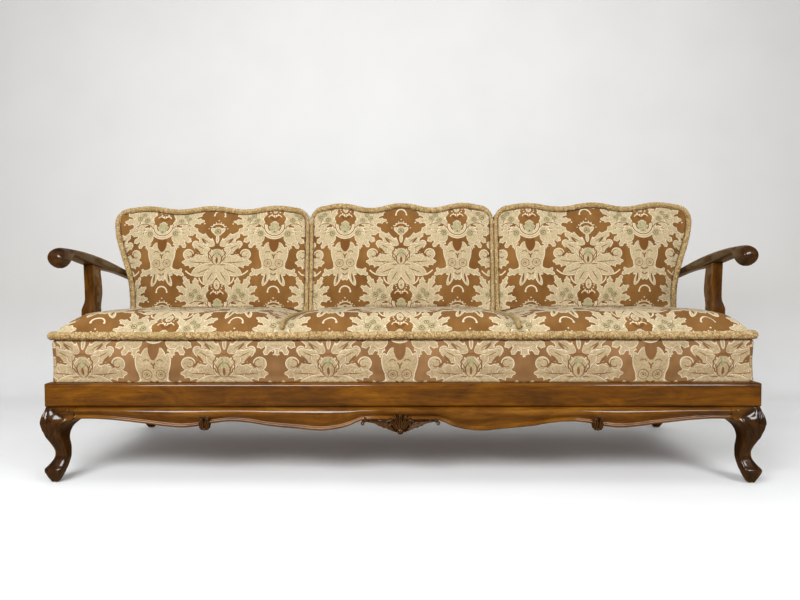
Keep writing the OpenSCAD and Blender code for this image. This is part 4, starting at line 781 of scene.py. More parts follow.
def apron_mesh(half, edge):
    """An apron along x; its ends stand a little inside the blocks of the legs"""
    step, housing = 6 * MM, 4 * MM
    xs = np.linspace(-half - housing, half + housing, int(2 * half / step))
    sections = [apron_section(drop) for drop in apron_drop(xs, half, edge)]
    return skin([np.insert(section, 0, x, axis=1) for x, section in zip(xs, sections)])


def build_aprons():
    b = sizes("base")
    fitted("Front_apron", apron_mesh(b.half_width - b.leg_block, FRONT_EDGE), "apron_x")
    v, f = apron_mesh(b.depth / 2 - b.leg_block, SIDE_EDGE)
    for side, name in SIDES:
        turned = np.stack([side * (b.half_width - v[:, 1]), b.depth / 2 + side * v[:, 0], v[:, 2]], 1)
        fitted(name.capitalize() + "_apron", (turned, f), "apron_y")


def knee_cut(s, around):
    """Depth of a knee's carving at a share of the height and at degrees round from the outer corner"""
    b = sizes("base")
    fan, edge_wide, ridge, scallops = 62, 7, 1.6 * MM, 0.16
    away = np.abs(around)
    carved = np.exp(-(around / fan) ** 6) * ease((s - 0.52) / 0.1) * ease((1.02 - s) / 0.08)
    spread = 1 + 1.1 * ease((s - 0.5) / 0.4)
    sweep = (away / spread + 16 * ease((s - 0.6) / 0.4)) * 46
    flutes = (0.5 - 0.5 * np.cos(np.radians(sweep))) ** 3
    scallop = 0.5 + 0.5 * np.sin(s * 60 + away * 0.09)
    border = bell(away, fan, edge_wide) * ease((0.97 - s) / 0.2) * ease((s - 0.2) / 0.25)
    return b.knee_groove * carved * (flutes + scallops * scallop) - ridge * border


def leg_mesh(carved):
    """A leg in its own corner: outer corner towards -x and -y, box corner at the origin"""
    b = sizes("base")
    n, rows = 192, 100
    s = np.linspace(0, 1, rows)[:, None]
    outer, inner, q, back, face = (smooth(LEG, s, k) for k in range(1, 6))
    outer, inner, back = -b.knee_reach * outer, b.leg_block * inner, b.leg_block * back
    face = b.leg_block * face if carved else 0
    turn = (np.arange(n) + n / 2) % n - n / 2
    e = 2 / (q + np.maximum(SIDE_SQUARENESS - q, 0) * np.sin(2 * np.pi * turn / n)[None, :] ** 2)
    c, h = (outer + inner) / 2, (inner - outer) / 2
    a = np.radians(225 + 360 * np.arange(n) / n)[None, :]
    u, v = spow(np.cos(a), e), spow(np.sin(a), e)
    x_side, y_side = np.maximum(v, 0) * (1 - u) / 2, np.maximum(u, 0) * (1 - v) / 2
    x = h * u - back * y_side + face * x_side
    y = h * v - back * x_side + face * y_side
    cut = np.zeros((rows, n))
    if carved:
        # The top of the leg runs into the faces of both aprons
        down = np.clip((1 - s) * (b.height - b.glide) / (b.apron_end_deep - b.bead), 0, 1)
        apron = -b.bulge * smooth(FACE, down) - c
        meet = ease((s - 0.8) / 0.08)
        x = x + meet * x_side * (apron - x)
        y = y + meet * y_side * (apron - y)
        cut = knee_cut(s, turn[None, :] / n * 360)
    shrink = 1 - cut / np.maximum(np.hypot(x, y), 1e-6)
    z = np.repeat(b.glide + (b.height - b.glide) * s, n, 1)
    verts, faces = skin(np.stack([c + x * shrink, c + y * shrink, z], 2))
    marks = np.zeros((len(verts), 3))
    # How deep the knee is carved, which its material turns into painted shade in the grooves
    marks[:rows * n, 1] = np.clip(cut / b.knee_groove, 0, 1).ravel()
    towards_apron = ease(verts[:, 0] / b.leg_block * 1.35 - 0.25)
    marks[:, 0] = towards_apron * ease((verts[:, 2] / b.height - 0.72) / 0.2) * 0.85
    return verts, faces, marks


def build_legs():
    b = sizes("base")
    for key, look in (("front_%s_leg", "knee"), ("rear_%s_leg", "dark_z")):
        v, f, marks = leg_mesh(look == "knee")
        if look != "knee":
            v, f = v * (1, -1, 1) + (0, b.depth, 0), flipped(f)
        fitted_pair(key, mirrored(v - (b.half_width, 0, 0), f), look, marks)


def round_section(points, cuts=2):
    """Rounds a closed outline by cutting its corners"""
    p = np.asarray(points, float)
    for _ in range(cuts):
        q = np.roll(p, -1, 0)
        p = np.stack([0.75 * p + 0.25 * q, 0.25 * p + 0.75 * q], 1).reshape(-1, 2)
    return p


def arm_height(s, column):
    """Height of an armrest's top (column 1) or underside (column 2) at a share of its length"""
    a = sizes("arms")
    return a.knob_z + a.knob_radius * smooth(ARM, s, column)


def build_arms():
    a, b = sizes("arms"), sizes("base")
    knob_end = 0.12
    shares = np.concatenate([np.linspace(0, knob_end, 36), np.linspace(knob_end, 1, 70)[1:]])
    section = round_section(ARM_SECTION)
    angle = np.arctan2(section[:, 1], section[:, 0])
    rings = []
    for s in shares:
        top, low = arm_height(s, 1), arm_height(s, 2)
        wide, square = float(smooth(ARM, s, 3)), float(np.clip(smooth(ARM, s, 4), 0, 1))
        half = a.post_width / 2 + (a.knob_width - a.post_width) / 2 * wide
        x = half * (square * section[:, 0] + (1 - square) * np.cos(angle)) + a.knob_out * max(wide, 0)
        z = (top + low) / 2 + (top - low) / 2 * (square * section[:, 1] + (1 - square) * np.sin(angle))
        rings.append(np.stack([x, np.full(len(x), a.knob_y - a.knob_radius + a.arm_length * s), z], 1))
    v, f = skin(rings)
    fitted_pair("%s_armrest", (v + (b.half_width + a.post_width / 2, 0, 0), flipped(f)), "arm_y")


def build_posts():
    """Posts that stand against the box, with a shoulder, and run up to the underside of the armrests"""
    a, b = sizes("arms"), sizes("base")
    y0, d = a.post_y, a.post_depth
    edge, box_edge, over = 4.5 * MM, 1.5 * MM, 6 * MM
    span = (y0 - over, y0 + d + over)
    under = [float(arm_height((y - a.knob_y + a.knob_radius) / a.arm_length, 2)) for y in span]
    rings = []
    for t in np.linspace(-1, 1, 80):
        s = max(t, 0.0)
        front, rear, swell = (float(smooth(POST, s, k)) for k in (1, 2, 3))
        front, rear, outside = y0 + d * front, y0 + d * rear, a.post_width * (1 + swell)
        ring = []
        for k, (x, y) in enumerate(((0, front), (outside, front), (outside, rear), (0, rear))):
            q = edge if x else box_edge
            middle = (x - q if x else q, y + q if y == front else y - q)
            for th in np.radians(180 + 90 * k + 18 * np.arange(6)):
                ring.append((middle[0] + q * math.cos(th), middle[1] + q * math.sin(th)))
        ring = np.array(ring)
        z = np.full(len(ring), a.post_foot + (a.shoulder - a.post_foot) * (t + 1))
        if t > 0:
            arm = under[0] + (ring[:, 1] - span[0]) / (span[1] - span[0]) * (under[1] - under[0])
            z = a.shoulder + (arm - a.shoulder) * s
        rings.append(np.column_stack([ring, z]))
    v, f = skin(rings)
    fitted_pair("%s_arm_post", (v + (b.half_width, 0, 0), f), "post_z")


def carved_leaf(at, angle, long, wide, thick, bend):
    """A leaf with its base at a place, pointing at an angle from the vertical, and lobed if it bends"""
    rows, cols, sunk = 22, 15, 3 * MM
    groove, lobes = 0.5, 0.12 if bend else 0.0
    s = np.linspace(0, 1, rows)[:, None]
    c = np.linspace(-1, 1, cols)[None, :]
    half = wide / 2 * np.maximum(4 * s * (1 - s), 0.02) ** 0.55 * (1 + lobes * np.sin(s * 22))
    high = thick * (1 - np.abs(c) ** 2.4) * np.minimum(s * 6, 1) * np.minimum((1.02 - s) * 5, 1)
    high = high * (1 - groove * bell(c, 0, 0.22)) + thick * 0.4 * ease((s - 0.7) / 0.3)
    turn = np.radians(angle) + bend * s
    step = long / (rows - 1)
    x, z = ((np.cumsum(way(turn), 0) - way(turn[0])) * step for way in (np.sin, np.cos))
    x, z = at[0] + x + c * half * np.cos(turn), at[2] + z - c * half * np.sin(turn)
    front = np.stack([x, at[1] - high, z], 2)
    back = np.stack([x, np.full(x.shape, at[1] + sunk), z], 2)[:, ::-1]
    return outward(*skin(np.concatenate([front, back], 1)))


def coil(at, radius, thick, turns, side, start):
    """A small spiral scroll that stands out towards its middle"""
    n, around, out = 60, 10, 4 * MM
    t = np.linspace(0, 1, n)[:, None]
    a = start + side * t * turns * 2 * np.pi
    r = radius * (1 - 0.82 * t)
    path = at + np.hstack([r * np.cos(a), -out * t, r * np.sin(a)])
    ends = np.clip(np.arange(n)[:, None] + (-1, 1), 0, n - 1)
    u = np.array([0, 1, 0])
    w = np.cross(unit(path[ends[:, 1]] - path[ends[:, 0]]), u)
    q = 2 * np.pi * np.arange(around)[:, None] / around
    tube = thick * (1 - 0.35 * t)[..., None]
    return outward(*skin(path[:, None] + tube * (np.cos(q) * u + np.sin(q) * w[:, None])))


def ball(at, radius, flat):
    """A round boss, flattened from the front"""
    q = np.linspace(0, 2 * np.pi, 20, endpoint=False)
    return outward(*skin([np.stack([at[0] + radius * np.sin(a) * np.cos(q),
                                    np.full(20, at[1] - radius * flat * np.cos(a)),
                                    at[2] + radius * np.sin(a) * np.sin(q)], 1)
                          for a in np.linspace(0.01, np.pi - 0.01, 14)]))


def add_carving(name, parts, ground=0):
    """The first vertices, as many as ground, are the dark ground behind the leaves"""
    mesh = joined(parts)
    marks = np.zeros((len(mesh[0]), 3))
    # Marks the ground behind the leaves for its painted shade
    marks[:ground, 0] = 1
    fitted(name, mesh, "carving", "carving", marks)


def build_shell():
    """A fan of leaves over a boss, with acanthus leaves and scrolls on both sides"""
    b, c = sizes("base"), sizes("carvings")
    low, face, sunk = b.height - b.apron_deep - c.below, -c.relief, 6 * MM
    shares = np.linspace(-1, 1, 61)
    rings = []
    for share, rise in zip(shares, smooth(SHELL_EDGE, np.abs(shares))):
        foot = low + rise * c.depth
        rings.append([(share * c.half_width, y, z)
                      for y, z in ((face, c.top), (face, foot), (sunk, foot), (sunk, c.top))])
    parts = [outward(*skin(rings))]
    for k in range(-2, 3):
        parts.append(carved_leaf((k * 3 * MM, face - 3 * MM, low + 6 * MM), 17 * k, c.fan - abs(k) * 4 * MM,
                                 14.5 * MM, 12 * MM, 0))
    for side, _ in SIDES:
        for x, z, angle, long, wide, bend in ACANTHUS:
            at = (side * x * MM, face - 1 * MM, low + z * MM)
            parts.append(carved_leaf(at, side * angle, long * MM, wide * MM, 10.5 * MM, side * bend))
        for x, z, radius, thick, turns, sense, out in SCROLLS:
            at = (side * x * MM, face - out * MM, low + z * MM)
            parts.append(coil(at, radius * MM, thick * MM, turns, side * sense, np.pi / 2))
    parts.append(ball((0, face - 8 * MM, low + 5 * MM), 9.5 * MM, 0.8))
    add_carving("Shell_carving", parts, len(parts[0][0]))


def build_leaf_carvings():
    """A tuft of leaves over a small boss, with two curls, on each side of the shell"""
    b, c = sizes("base"), sizes("carvings")
    foot = b.height - b.apron_deep + 2 * MM
    parts = []
    for side, _ in SIDES:
        middle = side * c.leaf_place
        for x, z, angle, long, wide, bend in SMALL_LEAVES:
            at = (middle + x * MM, -4.5 * MM, foot + z * MM)
            parts.append(carved_leaf(at, angle, long * MM, wide * MM, 10 * MM, bend))
        for turn in (-1, 1):
            at = (middle + turn * 8.5 * MM, -9 * MM, foot + 36 * MM)
            parts.append(coil(at, 5.5 * MM, 2.2 * MM, 1.2, -turn, np.pi * (turn > 0)))
        parts.append(ball((middle, -8 * MM, foot + 3 * MM), 4.2 * MM, 0.9))
    add_carving("Leaf_carvings", parts)


def build_carvings():
    build_shell()
    build_leaf_carvings()


# Fabric

def notch(fringe):
    """Radius of the groove that a fringe lies in"""
    return fringe / 2 + 0.4 * MM


def crown_at(x):
    """Height of the mattress's crown above its seam, across the sofa"""
    s = sizes("seat")
    valley_wide = 60 * MM
    share = np.minimum(np.abs(x) / (s.half_width - 1.1 * notch(s.fringe)), 1)
    return s.crown * (1 - share ** 20) ** 0.33 - s.valley * bell(np.abs(x), s.valley_x, valley_wide)


def seat_top(x, y):
    """Height of the mattress's top"""
    s = sizes("seat")
    edge = 1.1 * notch(s.fringe)
    v = np.clip((y - s.inset - edge) / (s.depth - 2 * edge), 0, 1)
    rise = np.where(v < 0.5, (1 - np.maximum(1 - 2 * v, 0) ** 6) ** 0.42, 1 - np.abs(2 * v - 1) ** 3)
    return s.fringe_height + 0.85 * notch(s.fringe) + crown_at(x) * rise


def seat_plan(grow, columns=90, rows=50):
    """Plan points of the mattress, its outline grown by a distance"""
    s = sizes("seat")
    straight = s.half_width - s.corner
    share = np.linspace(0, 1, columns)
    a = np.radians(np.linspace(0, 90, 9)[1:])
    r = s.corner + grow
    x = np.concatenate([straight * (0.3 * share + 0.7 * np.sin(np.pi / 2 * share)), straight + r * np.sin(a)])
    y = np.concatenate([np.full(columns, s.inset - grow), s.inset + s.corner - r * np.cos(a)])
    x, y = np.concatenate([-x[:0:-1], x]), np.concatenate([y[:0:-1], y])
    t = 0.5 - 0.5 * np.cos(np.pi * np.linspace(0, 1, rows))
    far = 2 * s.inset + s.depth - y
    return np.stack([np.repeat(x[:, None], rows, 1), y[:, None] + (far - y)[:, None] * t], 2)


def lifted(plan, z):
    """Plan points with their height"""
    return np.dstack([plan, np.broadcast_to(z, plan.shape[:2])])


def rim_index(nx, ny):
    """Places of the outline in a grid, anticlockwise from above, as a list for each of its two indices"""
    rim = ([(i, 0) for i in range(nx)] + [(nx - 1, j) for j in range(1, ny)]
           + [(i, ny - 1) for i in range(nx - 2, -1, -1)] + [(0, j) for j in range(ny - 2, 0, -1)])
    return tuple(np.array(rim).T)


def slab(top, loops, bottom):
    """A closed skin from a top grid, wall loops and a bottom grid with the same outline"""
    nx, ny = top.shape[:2]
    i, j = rim_index(nx, ny)
    rim, m, count = i * ny + j, len(i), nx * ny
    verts = [top.reshape(-1, 3), *loops, bottom.reshape(-1, 3)]
    quads = [(i * ny + j, (i + 1) * ny + j, (i + 1) * ny + j + 1, i * ny + j + 1)
             for i in range(nx - 1) for j in range(ny - 1)]
    base = count + len(loops) * m
    rows = [rim] + [count + k * m + np.arange(m) for k in range(len(loops))] + [base + rim]
    faces = list(quads)
    for a, b in zip(rows, rows[1:]):
        faces += [(a[(q + 1) % m], a[q], b[q], b[(q + 1) % m]) for q in range(m)]
    faces += [tuple(base + k for k in reversed(q)) for q in quads]
    return np.vstack(verts), faces


def filled(obj, pinned):
    """Fills a cushion with the cloth solver, pinned at its seams, and keeps its movement small"""
    fabric, scene = sizes("fabric"), bpy.context.scene
    start = np.array([v.co for v in obj.data.vertices])
    seams = obj.vertex_groups.new(name="seams")
    seams.add(np.nonzero(pinned)[0].tolist(), 1.0, "REPLACE")
    cloth = obj.modifiers.new("Cloth", "CLOTH")
    for key, value in {"vertex_group_mass": "seams", "use_pressure": True, "uniform_pressure_force": 3.5,
                       "tension_stiffness": 12, "compression_stiffness": 12, "bending_stiffness": 2,
                       "shrink_min": -0.02}.items():
        setattr(cloth.settings, key, value)
    cloth.settings.effector_weights.gravity = 0
    cloth.collision_settings.use_collision = False
    cloth.point_cache.frame_start, cloth.point_cache.frame_end = 1, fabric.frames
    for f in range(1, fabric.frames + 1):
        scene.frame_set(f)
    moved = np.array([v.co for v in obj.evaluated_get(bpy.context.evaluated_depsgraph_get()).data.vertices])
    obj.modifiers.remove(cloth)
    scene.frame_set(1)
    step = moved - start
    step *= np.minimum(1, fabric.cap / np.maximum(np.linalg.norm(step, axis=1, keepdims=True), 1e-9))
    obj.data.vertices.foreach_set("co", (start + step).astype(np.float32).ravel())
    obj.data.update()


def add_soft(name, mesh, marks, free, node, body):
    """A filled velour piece; free tells which of its first points, the top's and perhaps more, may move"""
    obj = make(name, *mesh, MATERIALS["velour"], "velour", marks)
    pinned = np.ones(len(mesh[0]), bool)
    pinned[:len(free)] = ~free
    filled(obj, pinned)
    smoothed = obj.modifiers.new("Subdivision", "SUBSURF")
    smoothed.levels = smoothed.render_levels = 1
    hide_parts(node)
    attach(obj, body)


def inner_points(shape):
    """Which points of a grid aren't on its edge"""
    inner = np.zeros(shape, bool)
    inner[1:-1, 1:-1] = True
    return inner


def mattress_mesh():
    """The mattress, its top grid, and its rim's place in a wall loop"""
    s = sizes("seat")
    nr = notch(s.fringe)
    plan = seat_plan(-1.1 * nr)
    top = lifted(plan, seat_top(*np.moveaxis(plan, 2, 0)))
    flat = top.reshape(-1, 3)
    crowned = np.clip((flat[:, 2] - s.fringe_height - nr) / (20 * MM), 0, 1)
    flat[:, 2] += crowned * (2.2 * MM * waver(flat, 0.11, 3.0) + 0.9 * MM * waver(flat, 0.035, 9.0))
    rim = rim_index(*top.shape[:2])

    def loop(grow, z):
        return lifted(seat_plan(grow), z)[rim]

    # The groove of the fringe, then the border, a little drawn in
    groove = ((1.08, 0.45), (0.35, 1.12), (0, 1.5))
    loops = [loop(-inwards * nr, s.fringe_height - down * nr) for inwards, down in groove]
    for z in np.linspace(s.fringe_height - 1.9 * nr, s.bed + 4 * MM, 12):
        u = (z - s.bed) / (s.fringe_height - s.bed)
        ring = loop(-2.5 * MM * math.sin(math.pi * min(u / 0.86, 1)), z)
        away = unit(ring[:, :2] - (0, s.inset + s.depth / 2))
        ring[:, :2] += away * (1.6 * MM * waver(ring, 0.09, 5.0))[:, None]
        loops.append(ring)
    return slab(top, loops, lifted(seat_plan(-3 * MM), s.bed + 0.4 * MM)), top, len(rim[0])


def build_mattress():
    """Builds the seat mattress; its cloth is mirrored where two panels meet"""
    s = sizes("seat")
    top_panel, border_panel, top_start, border_middle = 690 * MM, 714 * MM, 138 * MM, 327.5 * MM
    mesh, top, around = mattress_mesh()
    x, y, z = mesh[0].T
    count = top[..., 0].size

    def folded(at, panel):
        back = np.sign(at) * (panel - np.abs(at))
        return sizes("fabric").repeat + np.where(np.abs(at) < panel / 2, at, back)

    on_side = np.abs(x) > s.half_width - s.corner
    along = np.where(on_side, np.sign(x) * (s.half_width + y - s.inset), x)
    # The third mark is 1 on the border, where the velour gets its painted sheen, and 0 on the top
    marks = np.stack([folded(along, border_panel), z - border_middle, np.ones(len(x))], 1)
    run = np.linalg.norm(np.diff(top[..., 1:], axis=1), axis=2)
    marks[:count, 0] = folded(x[:count], top_panel)
    marks[:count, 1] = np.hstack([np.zeros((len(run), 1)), np.cumsum(run, 1)]).ravel() + top_start
    marks[:count, 2] = 0
    # The cloth may move inside the seams and the valleys, and on the border away from its corners
    free = np.zeros(count + 13 * around, bool)
    valleys = np.abs(np.abs(top[..., 0]) - s.valley_x) < 8 * MM
    free[:count] = (inner_points(top.shape[:2]) & ~valleys).ravel()
    corner, half = 60 * MM, s.depth / 2
    held = (np.abs(x) > s.half_width - corner) & (np.abs(y - s.inset - half) > half - corner)
    wall = slice(count + 4 * around, count + 13 * around)
    free[wall] = ~held[wall]
    add_soft("Seat_mattress", mesh, marks, free, "seat_mattress", "seat")


def tuft_tube(path, across, radius, closed, seed, around=24, thin=None):
    """A brushed, uneven tube of tufts along a path; thin gives how far it is pressed at a place"""
    p = np.vstack([path, path[:1]]) if closed else path
    n = max(int(run_along(p)[-1] / (2.2 * MM)), 8)
    line = resample(p, n, not closed)
    d = unit(np.roll(line, -1, 0) - np.roll(line, 1, 0) if closed else np.gradient(line, axis=0))
    u = np.cross(d, (0, 0, 1.0)) if across is None else np.tile(np.array(across, float), (n, 1))
    u = unit(u - d * (u * d).sum(1, keepdims=True))
    w = np.cross(d, u)
    rng = np.random.default_rng(seed)
    rough = sum(np.roll(rng.random((n, around)), k, 1) for k in range(2))
    rough = np.clip((rough / 2 - 0.5) * 1.6 + 0.5, 0, 1)
    lump = np.repeat(rng.random((n // 4 + 1, around // 4 + 1)), 4, 0)[:n].repeat(4, 1)[:, :around]
    r = radius * (0.78 + 0.26 * rough + 0.06 * lump)
    if thin:
        r = r * (1 - thin(line)[:, None])
    if not closed:
        ends = np.minimum(np.arange(n), np.arange(n)[::-1])[:, None] / 3
        r = r * np.minimum(0.5 + 0.5 * ends, 1)
    a = (2 * np.pi * (np.arange(around) + 0.5 * (np.arange(n)[:, None] % 2)) / around)[..., None]
    rings = line[:, None] + r[..., None] * (np.cos(a) * u[:, None] + np.sin(a) * w[:, None])
    verts, faces = skin(rings, closed_ends=not closed, endless=closed)
    # How far each point stands out, which the fringe's material turns into painted shade between the tufts
    tufts = np.zeros((len(verts), 3))
    tufts[:n * around, 0] = (0.75 * rough + 0.25 * lump).ravel()
    return verts, faces, tufts


def build_seat_trim():
    """Builds the fringe and the strips of the seat"""
    s = sizes("seat")
    plan = seat_plan(0)
    path = lifted(plan, s.fringe_height)[rim_index(*plan.shape[:2])]
    path[:, 2] += 1.8 * MM * waver(path, 0.16, 2.0)
    v, f, tufts = tuft_tube(path, None, s.fringe / 2, True, 7)
    fitted("Seat_fringe", (v, f), "moss", "moss_fringe", tufts, "seat")
    n, lift, sway = 120, s.strip / 2 - 4 * MM, 3 * MM
    y = s.inset + 1.1 * notch(s.fringe) + 1 * MM + s.strip_length * np.linspace(0, 1, n) ** 1.5
    z = seat_top(np.full(n, s.valley_x), y)
    slope = np.arctan(np.gradient(z, y))
    strips = []
    for side, _ in SIDES:
        path = np.stack([side * (s.valley_x + sway * np.sin(y * 9)), y - lift * np.sin(slope),
                         z + lift * np.cos(slope)], 1)
        strips.append(tuft_tube(path, (1, 0, 0), s.strip * 0.42, False, 11 + side, 20))
    fitted("Seat_strips", joined([strip[:2] for strip in strips]), "strip", "moss_fringe",
           np.vstack([strip[2] for strip in strips]), "seat")


class Cushion:
    """The outline and the lean of one back cushion: left, middle or right"""

    def __init__(self, k):
        s, c = sizes("seat"), sizes("cushions")
        r, valley, gap = c.fringe / 2, s.valley_x, 0.5 * MM
        far, off = valley + c.foot_width - r, gap + r
        self.foot = ((-far, -valley - off), (off - valley, valley - off), (valley + off, far))[k]
        self.flare = ((c.flare, 0), (0, 0), (0, c.flare))[k]
        self.wave, self.corner = c.waves[k], c.corner - r
        self.side_top = c.heights[k] - r - self.wave - self.corner
        self.ends = self.foot[0] - self.flare[0], self.foot[1] + self.flare[1]
        # The foot of the cushions stands on the mattress
        down = 1.3 * notch(c.fringe)
        middle = np.array((s.valley_x + s.half_width) / 2)
        self.lean = math.cos(c.rake), math.sin(c.rake)
        self.z = float(seat_top(middle, c.place + down * self.lean[0])) + down * self.lean[1] + 0.4 * MM

    def waved(self, x):
        """Height of the top edge's wave"""
        left, right = self.ends
        return self.wave * np.cos(2 * np.pi * (x - (left + right) / 2) / (0.68 * (right - left) / 2))

    def corner_arc(self, right, degrees):
        """Points of a top corner's arc, from its side towards the top"""
        a, sign, r = np.radians(degrees), 1 if right else -1, self.corner
        x = self.ends[right] - sign * r * (1 - np.cos(a))
        rise = self.waved(self.ends[right] - sign * r) * a / (np.pi / 2)
        return np.stack([x, self.side_top + r * np.sin(a) + rise], 1)

    def side(self, right, n, count):
        """A side from the foot to the middle of the corner, as count points"""
        h = np.linspace(0, self.side_top, n)
        out = self.flare[right] * ease((h / self.side_top) ** 1.25)
        line = np.stack([self.foot[right] + (out if right else -out), h], 1)
        line = np.vstack([line, self.corner_arc(right, np.linspace(0, 45, n // 3)[1:])])
        return resample(resample(line, n), count)

    def plan(self, nx, ny):
        """A grid of points in the cushion's own plane, x and height"""
        t = np.linspace(0, 1, nx)
        foot = np.stack([self.foot[0] + (self.foot[1] - self.foot[0]) * t, 0 * t], 1)
        left, right = (self.corner_arc(k, np.linspace(45, 90, nx // 6)) for k in (0, 1))
        x = np.linspace(self.ends[0] + self.corner, self.ends[1] - self.corner, nx * 2)[1:-1]
        crest = np.stack([x, self.side_top + self.corner + self.waved(x)], 1)
        top = resample(np.vstack([left, crest, right[::-1]]), nx)
        return patch(foot, self.side(1, nx, ny), top, self.side(0, nx, ny))

    def place(self, p, t):
        """Places of points x and height p in the leaning cushion, depth t behind the fringe"""
        s, c = sizes("seat"), sizes("cushions")
        cr, sr = self.lean
        x, h = np.moveaxis(np.asarray(p, float), -1, 0)
        sag = np.clip(0.7 * (s.crown - crown_at(x)), 0, c.sag) * (1 - ease(h / 0.1))
        return np.stack([x, c.place + h * sr + t * cr, self.z + h * cr - t * sr - sag], -1)

    def unplaced(self, v):
        """Height in the cushion's plane and depth behind it of placed points"""
        (cr, sr), back, up = self.lean, v[:, 1] - sizes("cushions").place, v[:, 2] - self.z
        return up * cr + back * sr, back * cr - up * sr


def patch(foot, right, top, left):
    """A grid of points spanned by four edges"""
    nx, ny = len(foot), len(left)
    s, t = np.linspace(0, 1, nx)[:, None, None], np.linspace(0, 1, ny)[None, :, None]
    return ((1 - t) * foot[:, None] + t * top[:, None] + (1 - s) * left[None] + s * right[None]
            - (1 - s) * (1 - t) * foot[0] - s * (1 - t) * foot[-1] - (1 - s) * t * top[0] - s * t * top[-1])


def drawn(outline, d):
    """A closed outline moved inwards"""
    e = np.roll(outline, -1, 0) - np.roll(outline, 1, 0)
    e /= np.maximum(np.linalg.norm(e, axis=1, keepdims=True), 1e-9)
    return outline + d * np.stack([-e[:, 1], e[:, 0]], 1)


def pressed(x, height, free, fade):
    """1 where two cushions press each other's fringe, and less away from there and near their feet"""
    off = np.maximum(np.abs(np.abs(x) - sizes("seat").valley_x) - free, 0)
    return bell(off, 0, fade, 4) * ease(height / (30 * MM))


def build_cushion(k, name):
    """A boxed back cushion and its fringe"""
    s, c, cushion, key = sizes("seat"), sizes("cushions"), Cushion(k), name.lower()
    nr, nx, ny = notch(c.fringe), 64, 40
    plan, rim = cushion.plan(nx, ny), rim_index(nx, ny)
    outline = plan[rim]

    def inset(d):
        grid = np.zeros(plan.shape)
        grid[rim] = drawn(outline, d)
        return patch(grid[:, 0], grid[-1], grid[:, -1], grid[0])

    def reaching(p):
        """Moves the front's edge on to the fringe where two cushions press it thin"""
        x, h = np.moveaxis(p, -1, 0)
        near = 0.34 * c.fringe * pressed(x, h, 1.1 * nr, 24 * MM)
        return p - np.stack([near * np.sign(np.abs(x) - s.valley_x) * np.sign(x), 0 * x], -1)

    def border(d, depth):
        return cushion.place(drawn(outline, d), depth)

    a, b = np.linspace(-1, 1, nx)[:, None], np.linspace(-1, 1, ny)
    full = ((1 - np.abs(a) ** 2.6) * (1 - np.abs(b) ** 2.3)) ** 0.62
    crown = cushion.place(reaching(inset(1.1 * nr)), -0.85 * nr - c.crown * 0.97 * full)
    back_frame = (c.back_y + (cushion.z - s.bed) * math.tan(c.rake) - c.place) * cushion.lean[0]
    rear = (back_frame - c.border - 0.8 * MM) * np.minimum(full * 1.12, 1)
    rear = cushion.place(inset(c.drawn_in), c.border + rear)
    loops = [cushion.place(reaching(drawn(outline, 1.08 * nr)), 0.45 * nr), border(0.35 * nr, 1.1 * nr),
             border(0, 1.5 * nr)]
    for u in np.linspace(0.22, 0.96, 7):
        loops.append(border(c.drawn_in * math.sin(math.pi * u) ** 0.7, c.border * u))
    v, f = slab(crown, loops, rear)

    # The cloth: flat in front, folded round the sides, the foot and the top
    middle, half_front, half_height, shift = 186 * MM, 330 * MM, 200 * MM, (0, 0, 4 * MM)[k]
    across = v[:, 0] - sum(cushion.foot) / 2 - shift
    height, depth = cushion.unplaced(v)
    wall = slice(nx * ny, len(v) - nx * ny)
    along, rise = np.abs(np.gradient(outline, axis=0)).T
    sideways = np.tile(along < rise, len(loops))
    marks = np.stack([across, height, 0 * across], 1)
    marks[wall, 0] = np.where(sideways, np.sign(across)[wall] * (half_front + depth[wall]), across[wall])
    marks[wall, 1] += np.where(sideways, 0, np.sign(height - half_height)[wall] * depth[wall])
    marks[:, 1] -= middle
    add_soft(name + "_cushion", (v, flipped(f)), marks, inner_points((nx, ny)).ravel(),
             key + "_back_cushion", key + "_cushion")

    def thin(p):
        return 0.32 * pressed(p[:, 0], p[:, 2] - cushion.z, 0, 22 * MM)

    line = cushion.place(np.vstack([outline[nx - 1:], outline[:1]]), 0)
    line[:, 2] += 1.2 * MM * waver(line, 0.12, float(k))
    line[:, 0] -= thin(line) * c.fringe / 2 * np.sign(np.abs(line[:, 0]) - s.valley_x) * np.sign(line[:,
                                                                                                      0])
    across = (0, cushion.lean[0], -cushion.lean[1])
    v, f, tufts = tuft_tube(line, across, c.fringe / 2, False, 20 + k, thin=thin)
    fitted(name + "_fringe", (v, f), "moss", "moss_fringe", tufts, key + "_cushion", key + "_back_fringe")


# Stage

# Softboxes: place, aim, size, watts, seen in the lacquer; places and sizes in metres
LAMPS = [((-1.5, -3.0, 1.9), (0, 0, 0.4), (2.2, 1.8), 44, False),
         ((1.8, -2.9, 1.9), (0.2, 0, 0.4), (2.0, 1.8), 24, False),
         ((0, -0.6, 2.9), (0, 0.6, 0.8), (3.6, 1.2), 15, False),
         ((-1.0, -1.9 + BOX_Y, 1.7), (-0.3, 0, 0.3), (1.5, 0.8), 42, True),
         ((1.75, -1.9 + BOX_Y, 1.7), (0.6, 0, 0.3), (0.9, 0.7), 22, True)]
CAMERA_PLACE = (0.0217, -1.7081 + BOX_Y, 0.58075)
CAMERA_YAW_PITCH_ROLL = (0.729, -1.704, 0.175)
CAMERA_LENS, CAMERA_SENSOR = 27.0, 36.0


def add_object(name, data):
    obj = bpy.data.objects.new(name, data)
    bpy.context.scene.collection.objects.link(obj)
    return obj


